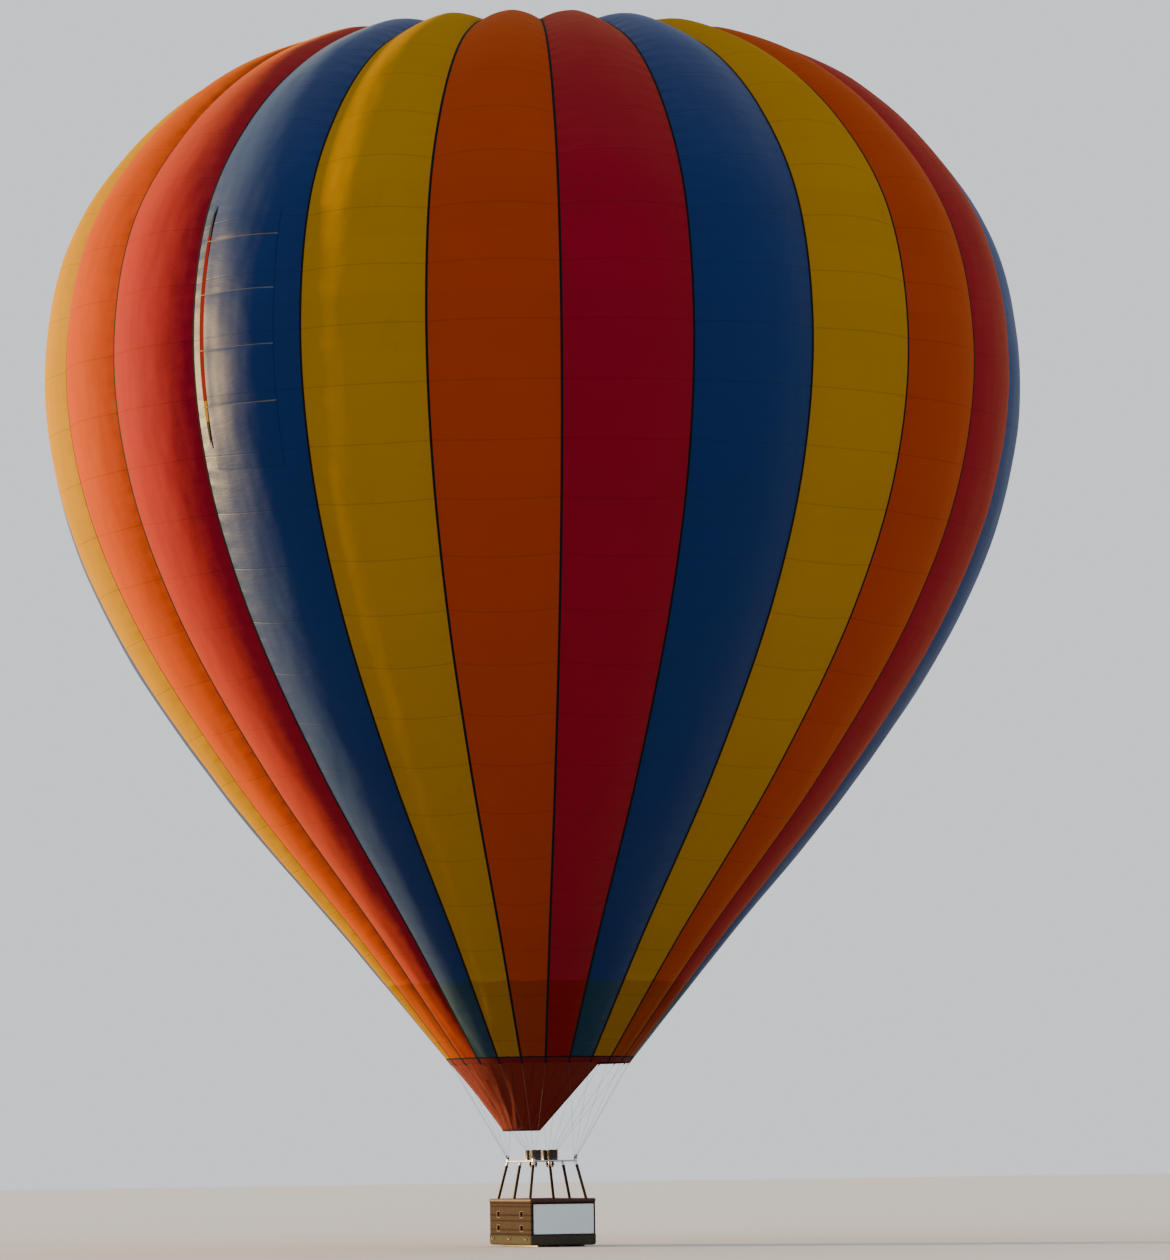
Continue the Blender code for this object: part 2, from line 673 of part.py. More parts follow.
def basket_outline(offset):
    """The basket's outline seen from above, moved out or in from the outer face of its walls."""
    points = []
    centre = (BASKET_HALF_LENGTH - BASKET_CORNER, BASKET_HALF_WIDTH - BASKET_CORNER)
    for quarter, (sx, sy) in enumerate(((1, 1), (-1, 1), (-1, -1), (1, -1))):
        for step in range(CORNER_STEPS + 1):
            turn = math.pi / 2 * (quarter + step / CORNER_STEPS)
            radius = BASKET_CORNER + offset
            points.append(Vector((sx * centre[0] + radius * math.cos(turn),
                                  sy * centre[1] + radius * math.sin(turn), 0)))
    return points


def basket_ring(name, section, finish, parent):
    """A closed band round the basket, from a section of (outward offset, height) points."""
    bm = bmesh.new()
    loops = [[bm.verts.new(p + Vector((0, 0, z))) for p in basket_outline(offset)] for offset, z in section]
    for low, high in zip(loops, loops[1:] + loops[:1]):
        for j in range(len(low)):
            k = (j + 1) % len(low)
            bm.faces.new((low[j], low[k], high[k], high[j]))
    return add(name, bm, finish, parent)


def build_walls(parent, finish):
    walls = basket_ring("basket_walls", ((0, FLOOR_TOP + GAP), (0, WALL_TOP), (-WALL, WALL_TOP),
                                         (-WALL, FLOOR_TOP + GAP)), finish, parent)
    for side in (-1, 1):
        for place in STEP_HOLE_PLACES:
            for height in STEP_HOLE_HEIGHTS:
                hole = box("step_hole", (STEP_HOLE[0], 4 * WALL, STEP_HOLE[1]), finish, parent,
                           (place, side * (BASKET_HALF_WIDTH - WALL / 2), height))
                boolean(walls, "DIFFERENCE", hole)
    for _, along, across in UPRIGHTS:
        top, foot = upright_line(along, across)
        lowest = foot.z - UPRIGHT_RADIUS * (foot - top).normalized().xy.length
        inner_face = BASKET_HALF_WIDTH - WALL
        block = box("upright_seat", (FOOT_BLOCK[0], FOOT_BLOCK[1] + 0.01, FOOT_BLOCK[2]), finish, parent,
                    (foot.x, across * (inner_face - (FOOT_BLOCK[1] - 0.01) / 2),
                     lowest - GAP - FOOT_BLOCK[2] / 2))
        boolean(walls, "UNION", block)


def build_floor(parent, finish):
    bm = bmesh.new()
    outline = basket_outline(-FLOOR_INSET)
    base = bm.faces.new([bm.verts.new(p + Vector((0, 0, FLOOR_BOTTOM))) for p in outline])
    raised = bmesh.ops.extrude_face_region(bm, geom=[base])
    lifted = [g for g in raised["geom"] if isinstance(g, bmesh.types.BMVert)]
    bmesh.ops.translate(bm, verts=lifted, vec=(0, 0, FLOOR_TOP - FLOOR_BOTTOM))
    floor = add("basket_floor", bm, finish, parent)
    for across in (-1, 0, 1):
        runner = box("runner", (RUNNER_LENGTH, RUNNER_WIDTH, FLOOR_BOTTOM + 0.005), finish, parent,
                     (0, across * RUNNER_SPREAD, (FLOOR_BOTTOM + 0.005) / 2))
        boolean(floor, "UNION", runner)


def build_rim(parent, finish):
    """The padded rim on top of the walls."""
    middle = (RIM_PROUD - RIM_INSIDE) / 2
    half = (RIM_PROUD + RIM_INSIDE) / 2
    low = WALL_TOP + GAP
    height = RIM_TOP - low
    section = ((middle - half * 0.7, low), (middle + half * 0.7, low), (middle + half, low + height * 0.3),
               (middle + half * 0.92, low + height * 0.75), (middle + half * 0.5, RIM_TOP),
               (middle - half * 0.5, RIM_TOP), (middle - half * 0.92, low + height * 0.75),
               (middle - half, low + height * 0.3))
    basket_ring("basket_rim", section, finish, parent)


def build_hide_band(parent, finish):
    """The hide round the foot of the walls, tucked in under the floor."""
    under = FLOOR_BOTTOM - GAP
    section = ((GAP, HIDE_TOP), (HIDE, HIDE_TOP), (HIDE, FLOOR_TOP + 0.02), (0, 0.068), (-0.03, 0.042),
               (-HIDE_TUCK, 0.036), (-HIDE_TUCK, under), (-FLOOR_INSET + GAP, under), (GAP, FLOOR_TOP - 0.001))
    basket_ring("hide_band", section, finish, parent)


def build_partitions(parent, finish):
    """A T of woven wall at each end, which leaves the pilot's bay between them."""
    across = BASKET_HALF_WIDTH - WALL - GAP
    reach = BASKET_HALF_LENGTH - WALL - GAP
    half = PARTITION / 2
    for name, side in (("near", 1), ("far", -1)):
        outline = [(PILOT_BAY_HALF - half, -across), (PILOT_BAY_HALF + half, -across),
                   (PILOT_BAY_HALF + half, -half), (reach, -half), (reach, half),
                   (PILOT_BAY_HALF + half, half), (PILOT_BAY_HALF + half, across),
                   (PILOT_BAY_HALF - half, across)]
        bm = bmesh.new()
        base = bm.faces.new([bm.verts.new((side * x, y, FLOOR_TOP + GAP)) for x, y in outline])
        raised = bmesh.ops.extrude_face_region(bm, geom=[base])
        lifted = [g for g in raised["geom"] if isinstance(g, bmesh.types.BMVert)]
        bmesh.ops.translate(bm, verts=lifted, vec=(0, 0, PARTITION_TOP - FLOOR_TOP))
        add(f"partition_{name}", bm, finish, parent)


def build_banner(parent, finish):
    width, height, thickness = BANNER
    box("banner", (thickness, width, height), finish, parent,
        (BASKET_HALF_LENGTH + GAP + thickness / 2, 0, BANNER_BOTTOM + height / 2))


def build_uprights(parent, finish):
    for name, along, across in UPRIGHTS:
        top, foot = upright_line(along, across)
        direction = (foot - top).normalized()
        rod(f"upright_{name}", top + direction * (SOCKET_LENGTH + GAP), foot, UPRIGHT_RADIUS, finish, parent, 10)


def build_cylinders(parent, finish):
    """Upright fuel cylinders with domed tops and a guard ring round the valves."""
    r, h = CYLINDER_RADIUS, CYLINDER_HEIGHT
    outline = ((0, 0.02), (r * 0.72, 0.02), (r * 0.72, 0), (r * 0.8, 0), (r * 0.85, 0.03), (r, 0.10), (r, h - 0.22),
               (r * 0.9, h - 0.14), (r * 0.62, h - 0.10), (r * 0.62, h), (r * 0.56, h), (r * 0.56, h - 0.09),
               (0, h - 0.07))
    for number, (x, y) in enumerate(CYLINDER_PLACES):
        bm = bmesh.new()
        verts = [bm.verts.new((a, 0, z)) for a, z in outline]
        edges = [bm.edges.new((a, b)) for a, b in zip(verts, verts[1:])]
        bmesh.ops.spin(bm, geom=verts + edges, cent=(0, 0, 0), axis=(0, 0, 1), angle=math.tau,
                       steps=CYLINDER_SIDES, use_merge=True)
        bmesh.ops.remove_doubles(bm, verts=bm.verts, dist=GAP / 3)
        add(f"fuel_cylinder_{number + 1}", bm, finish, parent, (x, y, FLOOR_TOP + GAP))


def main():
    clear_scene()
    cloth = {
        "crimson": material("crimson_cloth", (0.20, 0.002, 0.013), 0.62),
        "blue": material("blue_cloth", (0.002, 0.025, 0.10), 0.62),
        "yellow": material("yellow_cloth", (0.32, 0.165, 0.002), 0.62),
        "orange": material("orange_cloth", (0.30, 0.018, 0.007), 0.62),
    }
    tape = material("load_tape", (0.012, 0.012, 0.016), 0.7)
    wicker = material("wicker", (0.12, 0.05, 0.023), 0.7)
    rim_leather = material("rim_leather", (0.075, 0.018, 0.012), 0.5)
    sleeve_leather = material("sleeve_leather", (0.035, 0.016, 0.012), 0.55)
    hide = material("hide", (0.055, 0.05, 0.03), 0.6)
    plywood = material("plywood", (0.35, 0.22, 0.11), 0.6)
    steel = material("stainless_steel", (0.62, 0.63, 0.64), 0.3, 1.0)
    coil = material("burner_steel", (0.10, 0.10, 0.11), 0.4, 1.0)
    jacket = material("cylinder_jacket", (0.05, 0.05, 0.06), 0.7)
    plain_banner = material("banner_vinyl", (0.60, 0.74, 0.78), 0.45)

    ground = empty("ground", location=(0, 0, -EQUATOR_HEIGHT))
    basket = empty("basket_axes", ground, turn=BASKET_YAW)
    burner = empty("burner_axes", basket, (0, 0, FRAME_HEIGHT))
    build_gores(ground, cloth)
    build_mouth_band(ground, tape)
    build_load_tapes(ground, tape)
    build_crown_ring(ground, steel)
    build_parachute_vent(ground, cloth["yellow"])
    build_turning_vents(ground, cloth["blue"])
    build_scoop(ground, cloth["crimson"])
    build_flying_wires(ground, steel)
    build_burner_frame(basket, steel)
    build_gimbal(burner, steel)
    build_burner_block(burner, steel)
    for number, (x, y) in enumerate(((1, 1), (1, -1), (-1, 1), (-1, -1))):
        build_burner(f"burner_{number + 1}", burner, coil, (x * BURNER_SPACING, y * BURNER_SPACING))
    build_uprights(basket, sleeve_leather)
    build_walls(basket, wicker)
    build_floor(basket, plywood)
    build_rim(basket, rim_leather)
    build_hide_band(basket, hide)
    build_partitions(basket, wicker)
    build_banner(basket, plain_banner)
    build_cylinders(basket, jacket)


main()
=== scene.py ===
# Hot air balloon: striped envelope, scoop, burners and a parted wicker basket
import math
from functools import partial

import bmesh
import bpy
from mathutils import Matrix, Vector, noise


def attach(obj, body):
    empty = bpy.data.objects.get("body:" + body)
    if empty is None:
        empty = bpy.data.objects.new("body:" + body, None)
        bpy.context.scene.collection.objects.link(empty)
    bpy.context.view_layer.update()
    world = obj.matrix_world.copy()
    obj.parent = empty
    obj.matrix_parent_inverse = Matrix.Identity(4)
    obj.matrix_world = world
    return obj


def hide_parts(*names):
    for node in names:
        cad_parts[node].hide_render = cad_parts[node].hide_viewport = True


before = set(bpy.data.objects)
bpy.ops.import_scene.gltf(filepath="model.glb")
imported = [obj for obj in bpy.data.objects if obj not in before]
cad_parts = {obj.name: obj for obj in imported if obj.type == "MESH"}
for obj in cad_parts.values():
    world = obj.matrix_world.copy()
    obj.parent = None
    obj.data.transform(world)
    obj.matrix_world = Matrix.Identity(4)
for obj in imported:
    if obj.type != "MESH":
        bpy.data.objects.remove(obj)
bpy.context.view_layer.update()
ground = -22.30  # underside of the runners in the row frame


# Shader sums: a socket that can be added, multiplied and compared
class Wire:
    def __init__(self, net, socket):
        self.net, self.socket = net, socket

    def sum(self, operation, *others):
        return self.net.sum(operation, self, *others)

    def __add__(self, other):
        return self.sum("ADD", other)

    def __sub__(self, other):
        return self.sum("SUBTRACT", other)

    def __rsub__(self, other):
        return self.net.sum("SUBTRACT", other, self)

    def __mul__(self, other):
        return self.sum("MULTIPLY", other)

    def __truediv__(self, other):
        return self.sum("DIVIDE", other)

    __radd__, __rmul__ = __add__, __mul__

    def step(self, low, high):  # 0 below low, 1 above high, smooth between
        return self.net.node("ShaderNodeMapRange", {"interpolation_type": "SMOOTHSTEP"},
                             {"Value": self, "From Min": low, "From Max": high})

    def line(self, middle, half, soft):  # 1 on a line, 0 beside it
        return 1 - (self - middle).sum("ABSOLUTE").step(half, half + soft)


class Net:
    def __init__(self, tree, shader):
        self.tree, self.shader = tree, tree.nodes[shader]

    def put(self, socket, value):
        if isinstance(value, Wire):
            self.tree.links.new(value.socket, socket)
        else:
            socket.default_value = value[:len(socket.default_value)] if isinstance(value, tuple) else value

    def node(self, kind, settings, values, output=0):
        made = self.tree.nodes.new(kind)
        for key, value in settings.items():
            setattr(made, key, value)
        for key, value in values.items():
            self.put(made.inputs[key], value)
        return Wire(self, made.outputs[output])

    def sum(self, operation, *values):
        return self.node("ShaderNodeMath", {"operation": operation}, dict(enumerate(values)))

    def set(self, name, value):
        self.put(self.shader.inputs[name], value)


class Finish(Net):
    def __init__(self, name, colour, roughness, metallic=0.0, **uniform):
        self.material = bpy.data.materials.new(name)
        self.material.use_nodes = True
        super().__init__(self.material.node_tree, "Principled BSDF")
        self.plain = (*colour, 1.0)
        for key, value in {"Base Color": self.plain, "Roughness": roughness, "Metallic": metallic, **uniform}.items():
            self.set(key.replace("_", " "), value)

    def lay(self):  # the sewn coordinates of a piece: across, along, half width, in metres
        place = self.node("ShaderNodeAttribute", {"attribute_name": "lay"}, {}, "Vector")
        return [self.node("ShaderNodeSeparateXYZ", {}, {0: place}, i) for i in range(3)]

    def scale(self, first, second):
        return self.node("ShaderNodeVectorMath", {"operation": "MULTIPLY"}, {0: first, 1: second})

    def place(self, stretch=(1, 1, 1)):
        return self.scale(self.node("ShaderNodeTexCoord", {}, {}, "Object"), stretch)

    def join(self, *parts):
        return self.node("ShaderNodeCombineXYZ", {}, dict(enumerate(parts)))

    def noise(self, vector, scale, detail=3.0, rough=0.55):
        return self.node("ShaderNodeTexNoise", {},
                         {"Vector": vector, "Scale": scale, "Detail": detail, "Roughness": rough})

    def mix(self, share, first, second):
        return self.node("ShaderNodeMix", {"data_type": "RGBA"}, {0: share, 6: first, 7: second}, 2)

    def tint(self, colour, amount):  # a colour made lighter or darker by an amount round 1
        return self.scale(colour, self.join(amount, amount, amount))

    def dress(self, colour, roughness, height):  # height in metres
        self.set("Base Color", colour)
        self.set("Roughness", roughness)
        self.set("Normal", self.node("ShaderNodeBump", {}, {"Strength": 1.0, "Distance": 1.0, "Height": height}))
        return self.material


# Envelope cloth: the panels' seams, puckers beside the tapes, and duller fire cloth at the foot
cloths = {
    "crimson": {"colour": (0.175, 0.002, 0.014), "fire": (0.130, 0.0, 0.003), "roughness": 0.70, "gloss": 0.01,
                "sheen": 0.20, "sheenTint": (1.0, 0.42, 0.10, 1.0)},
    "blue": {"colour": (0.0, 0.015, 0.084), "fire": (0.0, 0.020, 0.042), "roughness": 0.52, "gloss": 0.10,
             "sheen": 0.10, "sheenTint": (0.45, 0.7, 1.0, 1.0)},
    "yellow": {"colour": (0.275, 0.142, 0.0), "fire": (0.22, 0.105, 0.0), "roughness": 0.70, "gloss": 0.01,
               "sheen": 0.02, "sheenTint": (1.0, 0.6, 0.02, 1.0)},
    "orange": {"colour": (0.26, 0.028, 0.004), "fire": (0.18, 0.020, 0.002), "roughness": 0.70, "gloss": 0.01,
               "sheen": 0.12, "sheenTint": (1.0, 0.5, 0.05, 1.0)},
}
# The near-black colour at the tape edges is partly the stitched seam and partly painted shade of the valley between the
# bulging gores
sewing = {"panel": 1.42, "seam": (0.5, 0.006, 0.010), "fireTop": 2.58, "edge": (0.003, 0.010),
          "seamAndValleyShade": (0.008, 0.008, 0.012, 1.0), "puckers": 13.5, "puckerDepth": 0.005, "puckerReach": -0.28}


def makeClothFinish(name):
    look = cloths[name]
    net = Finish(f"{name}Cloth", look["colour"], look["roughness"], Specular_IOR_Level=look["gloss"],
                 Sheen_Weight=look["sheen"], Sheen_Roughness=0.5, Sheen_Tint=look["sheenTint"])
    across, along, half = net.lay()
    edge = half - across.sum("ABSOLUTE")
    panel = along / sewing["panel"]
    number = panel.sum("FLOOR")
    seam = (panel - number).line(*sewing["seam"])
    cloud = net.noise(net.place(), 0.35, 3)
    shade = net.noise(net.join(number, number, 0.5), 3.7, 0)
    stain = net.noise(net.place((1, 1, 0.35)), 1.3, 5, 0.65).step(0.55, 0.8)
    tone = 0.90 + 0.12 * cloud + 0.10 * shade - 0.16 * seam
    # The cloth's colour is darker towards the mouth: scaled from 0.84 at 1 m along the seam line to 1.02 from 17 m up
    tone = (tone - 0.07 * stain) * (0.84 + 0.18 * along.step(1.0, 17.0))
    fire = net.tint((*look["fire"], 1.0), tone)
    body = net.mix(along.step(sewing["fireTop"], sewing["fireTop"] + 0.02), fire, net.tint(net.plain, tone))
    # Near-black band beside each tape: partly the stitched seam, partly painted shade in the valley between the gores
    sewn = edge.step(*sewing["edge"])
    wander = net.noise(net.join(across * 0.4, along * 0.9, 0.0), 1.0, 2)
    pull = (along * sewing["puckers"] + wander * 9.0).sum("SINE") * (edge / sewing["puckerReach"]).sum("EXPONENT")
    crease = net.noise(net.join(across * 0.9, along * 2.6, 3.0), 1.0, 4, 0.6)
    soft = net.noise(net.join(across * 0.8, along * 0.35, 7.0), 1.0, 2)
    return net.dress(net.mix(sewn, sewing["seamAndValleyShade"], body),
                     look["roughness"] + 0.16 * (cloud - 0.5) + 0.1 * (1 - sewn),
                     pull * sewing["puckerDepth"] + crease * 0.015 + soft * 0.05 - seam * 0.003)


def makeWebbing(name, colour, rib=0.004, roughness=0.78):
    net = Finish(name, colour, roughness, Specular_IOR_Level=0.05)
    across, along, half = net.lay()
    twill = ((along + across) * (math.tau / rib)).sum("SINE")
    stitch = across.sum("ABSOLUTE").line(half * 0.8, 0.0015, 0.001)
    return net.dress(net.tint(net.plain, 0.9 + 0.2 * net.noise(net.place(), 2.0) + 0.5 * stitch), roughness,
                     twill * 0.0002 - stitch * 0.0004)


def makeMetal(name, colour, roughness, grain=(1, 1, 1), heat=0.0):
    net = Finish(name, colour, roughness, 1.0)
    fine, broad = net.noise(net.place(grain), 180.0, 2), net.noise(net.place(), 6.0, 3)
    if heat:
        warm = net.noise(net.place((1, 1, 2.5)), 9.0, 3).step(0.35, 0.7)
        shown = net.mix(warm * heat, net.plain, (0.075, 0.038, 0.022, 1.0))
    else:
        shown = net.tint(net.plain, 0.88 + 0.2 * broad)
    return net.dress(shown, roughness - 0.1 + 0.14 * fine + 0.1 * broad, fine * 0.0001)


def makeLeather(name, colour, roughness=0.55, grain=240.0, gloss=0.12, crumple=0.002):
    net = Finish(name, colour, roughness, Specular_IOR_Level=gloss)
    cell = net.node("ShaderNodeTexVoronoi", {"feature": "DISTANCE_TO_EDGE"}, {"Vector": net.place(), "Scale": grain})
    cloud = net.noise(net.place(), 5.0, 4)
    worn = net.noise(net.place(), 22.0, 4, 0.7).step(0.55, 0.75)
    rubbed = (*[min(1, c * 2.2 + 0.01) for c in colour], 1.0)
    return net.dress(net.mix(worn * 0.35, net.tint(net.plain, 0.75 + 0.5 * cloud), rubbed),
                     roughness - 0.1 + 0.2 * cloud, cell.step(0.0, 0.3) * (0.05 / grain) + cloud * crumple)


# Woven cane: stakes stand up, strands pass in front of and behind them
weave = {"stake": 0.040, "strand": 0.0125, "light": (0.048, 0.032, 0.026), "dark": (0.018, 0.012, 0.0095, 1.0),
         "border": (0.010, 0.006, 0.005, 1.0), "depth": 0.003}


def makeWicker(name):
    net = Finish(name, weave["light"], 0.62, Specular_IOR_Level=0.01)
    across, along, border = net.lay()  # here the third one is 1 in the dark bands and 0 elsewhere
    column, row = across / weave["stake"], along / weave["strand"]
    number = row.sum("FLOOR")
    over = (column * math.pi + number * math.pi).sum("SINE").sum("ABSOLUTE")
    height = over * 0.7 + ((row - number) * math.pi).sum("SINE") * 0.5
    change = net.noise(net.join(column * 0.13, number * 0.71, 1.0), 3.0, 3).step(0.25, 0.75)
    cane = net.mix(border * 0.85, net.mix(change, weave["dark"], net.plain), weave["border"])
    fibre = net.noise(net.join(across * 8.0, along * 90.0, 0.0), 3.0, 2)
    # The cane's colour is darkened where the weave dips behind the stakes and between the strands: painted shade in the
    # gaps
    return net.dress(net.tint(cane, height.step(0.1, 0.9) * 0.75 + 0.3), 0.5 + 0.25 * fibre,
                     height * weave["depth"] + fibre * 0.0004)


def makeTimber(name, colour):
    net = Finish(name, colour, 0.5)
    ring = net.node("ShaderNodeTexWave", {"wave_type": "BANDS", "bands_direction": "X"},
                    {"Vector": net.place((1, 0.06, 1)), "Scale": 14.0, "Distortion": 5.0, "Detail": 3.0})
    return net.dress(net.tint(net.plain, 0.72 + 0.4 * ring), 0.42 + 0.2 * ring, ring * 0.0004)


def makePlain(name, colour, roughness, scale=40.0, depth=0.0004, change=0.2, **uniform):
    net = Finish(name, colour, roughness, **uniform)
    cloud = net.noise(net.place(), scale, 4)
    return net.dress(net.tint(net.plain, 1 - change / 2 + change * cloud), roughness - 0.06 + 0.12 * cloud,
                     cloud * depth)


finish = {name: makeClothFinish(name) for name in cloths}
finish.update(
    tape=makeWebbing("tapeWebbing", (0.005, 0.005, 0.007)),
    paleTape=makeWebbing("paleTape", (0.11, 0.105, 0.095)),
    bandCloth=makePlain("mouthBandCloth", (0.075, 0.0, 0.001), 0.7, 6.0, 0.004, Specular_IOR_Level=0.12),
    scoop=makePlain("scoopCloth", (0.095, 0.005, 0.0), 0.62, 3.0, 0.02, 0.3, Specular_IOR_Level=0.12),
    slitRed=makePlain("slitRedCloth", (0.085, 0.0, 0.002), 0.7, 3.0, 0.01, Specular_IOR_Level=0.01),
    slitYellow=makePlain("slitYellowCloth", (0.16, 0.085, 0.0), 0.7, 3.0, 0.01, Specular_IOR_Level=0.01),
    steel=makeMetal("brushedSteel", (0.58, 0.59, 0.60), 0.34, (1, 1, 0.06)),
    wire=makeMetal("wireStrand", (0.07, 0.07, 0.073), 0.5, (1, 1, 6)),
    coil=makeMetal("coilSteel", (0.065, 0.055, 0.050), 0.42, heat=0.5),
    can=makeMetal("canSteel", (0.10, 0.10, 0.105), 0.38, (1, 1, 0.1), 0.45),
    darkMetal=makePlain("darkMetal", (0.022, 0.022, 0.024), 0.42, 60.0, 0.0002, 0.3, Metallic=0.6),
    brass=makeMetal("brassFitting", (0.55, 0.38, 0.14), 0.32),
    sleeve=makeLeather("sleeveLeather", (0.030, 0.014, 0.010), 0.5),
    rim=makeLeather("rimLeather", (0.062, 0.027, 0.021), 0.55, 200.0),
    hide=makeLeather("rawHide", (0.042, 0.039, 0.031), 0.80, 220.0, 0.01, 0.012),
    lace=makePlain("laceCord", (0.20, 0.13, 0.07), 0.7, 80.0),
    wicker=makeWicker("wickerCane"),
    plywood=makeTimber("plywoodFloor", (0.33, 0.21, 0.11)),
    runner=makeTimber("runnerTimber", (0.20, 0.13, 0.075)),
    jacket=makePlain("cylinderJacket", (0.030, 0.032, 0.045), 0.75, 12.0, 0.004),
    banner=makePlain("bannerVinyl", (0.62, 0.73, 0.76), 0.42, 4.0, 0.003, 0.08),
    grip=makePlain("leverGrip", (0.30, 0.012, 0.010), 0.45, 30.0),
)
print("finishes made:", len(finish))


def addObject(name, data):
    thing = bpy.data.objects.new(name, data)
    bpy.context.scene.collection.objects.link(thing)
    return thing


def spread(first, last, count):
    return [first + (last - first) * i / count for i in range(count + 1)]


def circle(count):
    return spread(0, math.tau, count)[:-1]


def up(height):
    return Vector((0, 0, height))


# Faces for one piece, with a finish for each part and the sewn coordinates
class Shape:
    def __init__(self):
        self.verts, self.faces, self.slots, self.spots = [], [], [], []

    def add(self, verts, faces, slot=0, spots=None):
        base = len(self.verts)
        self.verts += verts
        self.faces += [[base + i for i in face] for face in faces]
        self.slots += [slot] * len(faces)
        self.spots += spots or [(0.0, 0.0, 0.02)] * len(verts)

    def grid(self, rows, slot=0, spots=None, around=False, skip=()):
        wide = len(rows[0])
        faces = [(i * wide + j, i * wide + (j + 1) % wide, (i + 1) * wide + (j + 1) % wide, (i + 1) * wide + j)
                 for i in range(len(rows) - 1) for j in range(wide if around else wide - 1) if (i, j) not in skip]
        self.add([p for row in rows for p in row], faces, slot, [p for row in spots for p in row] if spots else None)

    def sheet(self, outer, inner, slot=0, spots=None, around=False):  # a closed cloth with two sides
        tall, wide = len(outer), len(outer[0])
        base = len(self.verts)
        self.grid(outer, slot, spots, around)
        self.grid([row[::-1] for row in inner], slot, [row[::-1] for row in spots] if spots else None, around)

        def behind(i, j):  # the inner side's point that lies behind one of the outer side
            return base + tall * wide + i * wide + wide - 1 - j
        pairs = [((i, j), (i, (j + 1) % wide)) for i in (0, tall - 1) for j in range(wide if around else wide - 1)]
        pairs += [((i, j), (i + 1, j)) for j in (() if around else (0, wide - 1)) for i in range(tall - 1)]
        self.faces += [[base + a * wide + b, base + c * wide + d, behind(c, d), behind(a, b)]
                       for (a, b), (c, d) in pairs]
        self.slots += [slot] * len(pairs)

    def cloth(self, spot, across, rows, depths, slot=0, lay=None, around=False):  # a sheet from a function
        sides = [[[spot(u, s, depth) for u in across] for s in rows] for depth in depths]
        self.sheet(*sides, slot, [[lay(u, s) for u in across] for s in rows] if lay else None, around)

    def tube(self, path, radius, sides=10, slot=0, closed=False, base=(0, 0, 0)):
        path = [Vector(base) + Vector(p) for p in path]
        count = len(path)
        radii = radius if hasattr(radius, "__len__") else [radius] * count
        after = [path[(i + 1) % count] if closed or i < count - 1 else path[i] for i in range(count)]
        before = [path[i - 1] if closed or i > 0 else path[i] for i in range(count)]
        tangents = [(a - b).normalized() for a, b in zip(after, before)]
        side = tangents[0].orthogonal().normalized()
        turns = circle(sides)
        rings, spots, run = [], [], 0.0
        for i, (place, tangent) in enumerate(zip(path, tangents)):
            side = (side - tangent * side.dot(tangent)).normalized()
            other = tangent.cross(side)
            run += (place - path[i - 1]).length if i else 0.0
            rings.append([place + (side * math.cos(t) + other * math.sin(t)) * radii[i] for t in turns])
            spots.append([(t * radii[i], run, radii[i]) for t in turns])
        start = len(self.verts)
        self.grid(rings + (rings[:1] if closed else []), slot, spots + (spots[:1] if closed else []), True)
        if not closed:
            end = start + (count - 1) * sides
            self.faces += [list(range(start, start + sides))[::-1], list(range(end, end + sides))]
            self.slots += [slot] * 2

    def pin(self, centre, half, radius, sides, slot=0):  # a straight rod with its middle at the centre
        self.tube([centre - half, centre + half], radius, sides, slot)

    def hoop(self, centre, first, second, thick, count, sides, slot=0):  # first and second: two radii of the hoop
        path = [centre + first * math.cos(t) + second * math.sin(t) for t in circle(count)]
        self.tube(path, thick, sides, slot, True)

    def level(self, centre, radius, thick, count, sides, slot=0):  # a hoop that lies flat
        self.hoop(centre, Vector((radius, 0, 0)), Vector((0, radius, 0)), thick, count, sides, slot)

    def lathe(self, outline, centre, steps=24, slot=0, closed=False):
        rows = [[Vector(centre) + Vector((r * math.cos(t), r * math.sin(t), h)) for t in circle(steps)]
                for r, h in outline]
        self.grid(rows + (rows[:1] if closed else []), slot, None, True)

    def block(self, centre, size, slot=0, bevel=0.002, turn=None, segments=2):
        bm = bmesh.new()
        bmesh.ops.create_cube(bm, size=1)
        bmesh.ops.scale(bm, verts=bm.verts, vec=size)
        bmesh.ops.bevel(bm, geom=bm.edges[:], offset=bevel, segments=segments, affect="EDGES", profile=0.5)
        spin = turn or Matrix.Identity(3)
        self.add([Vector(centre) + spin @ v.co for v in bm.verts], [[v.index for v in f.verts] for f in bm.faces], slot)
        bm.free()

    def make(self, name, finishes, slotName=None, angle=40, weld=True, body="balloon", node=None):
        mesh = bpy.data.meshes.new(name)
        mesh.from_pydata(self.verts, [], self.faces)
        for item in finishes.split():
            mesh.materials.append(finish[item])
        mesh.polygons.foreach_set("material_index", self.slots)
        lay = mesh.attributes.new("lay", "FLOAT_VECTOR", "POINT")
        lay.data.foreach_set("vector", [x for spot in self.spots for x in spot])
        bm = bmesh.new()
        bm.from_mesh(mesh)
        if weld:
            bmesh.ops.remove_doubles(bm, verts=bm.verts, dist=0.00005)
        bmesh.ops.recalc_face_normals(bm, faces=bm.faces)
        bm.to_mesh(mesh)
        bm.free()
        mesh.shade_smooth()
        mesh.set_sharp_from_angle(angle=math.radians(angle))
        piece = addObject(name, mesh)
        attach(piece, body)
        if slotName:  # this piece replaces a node, by default the one it is named after
            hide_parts(node or name.rsplit("_", 1)[0])
        return piece


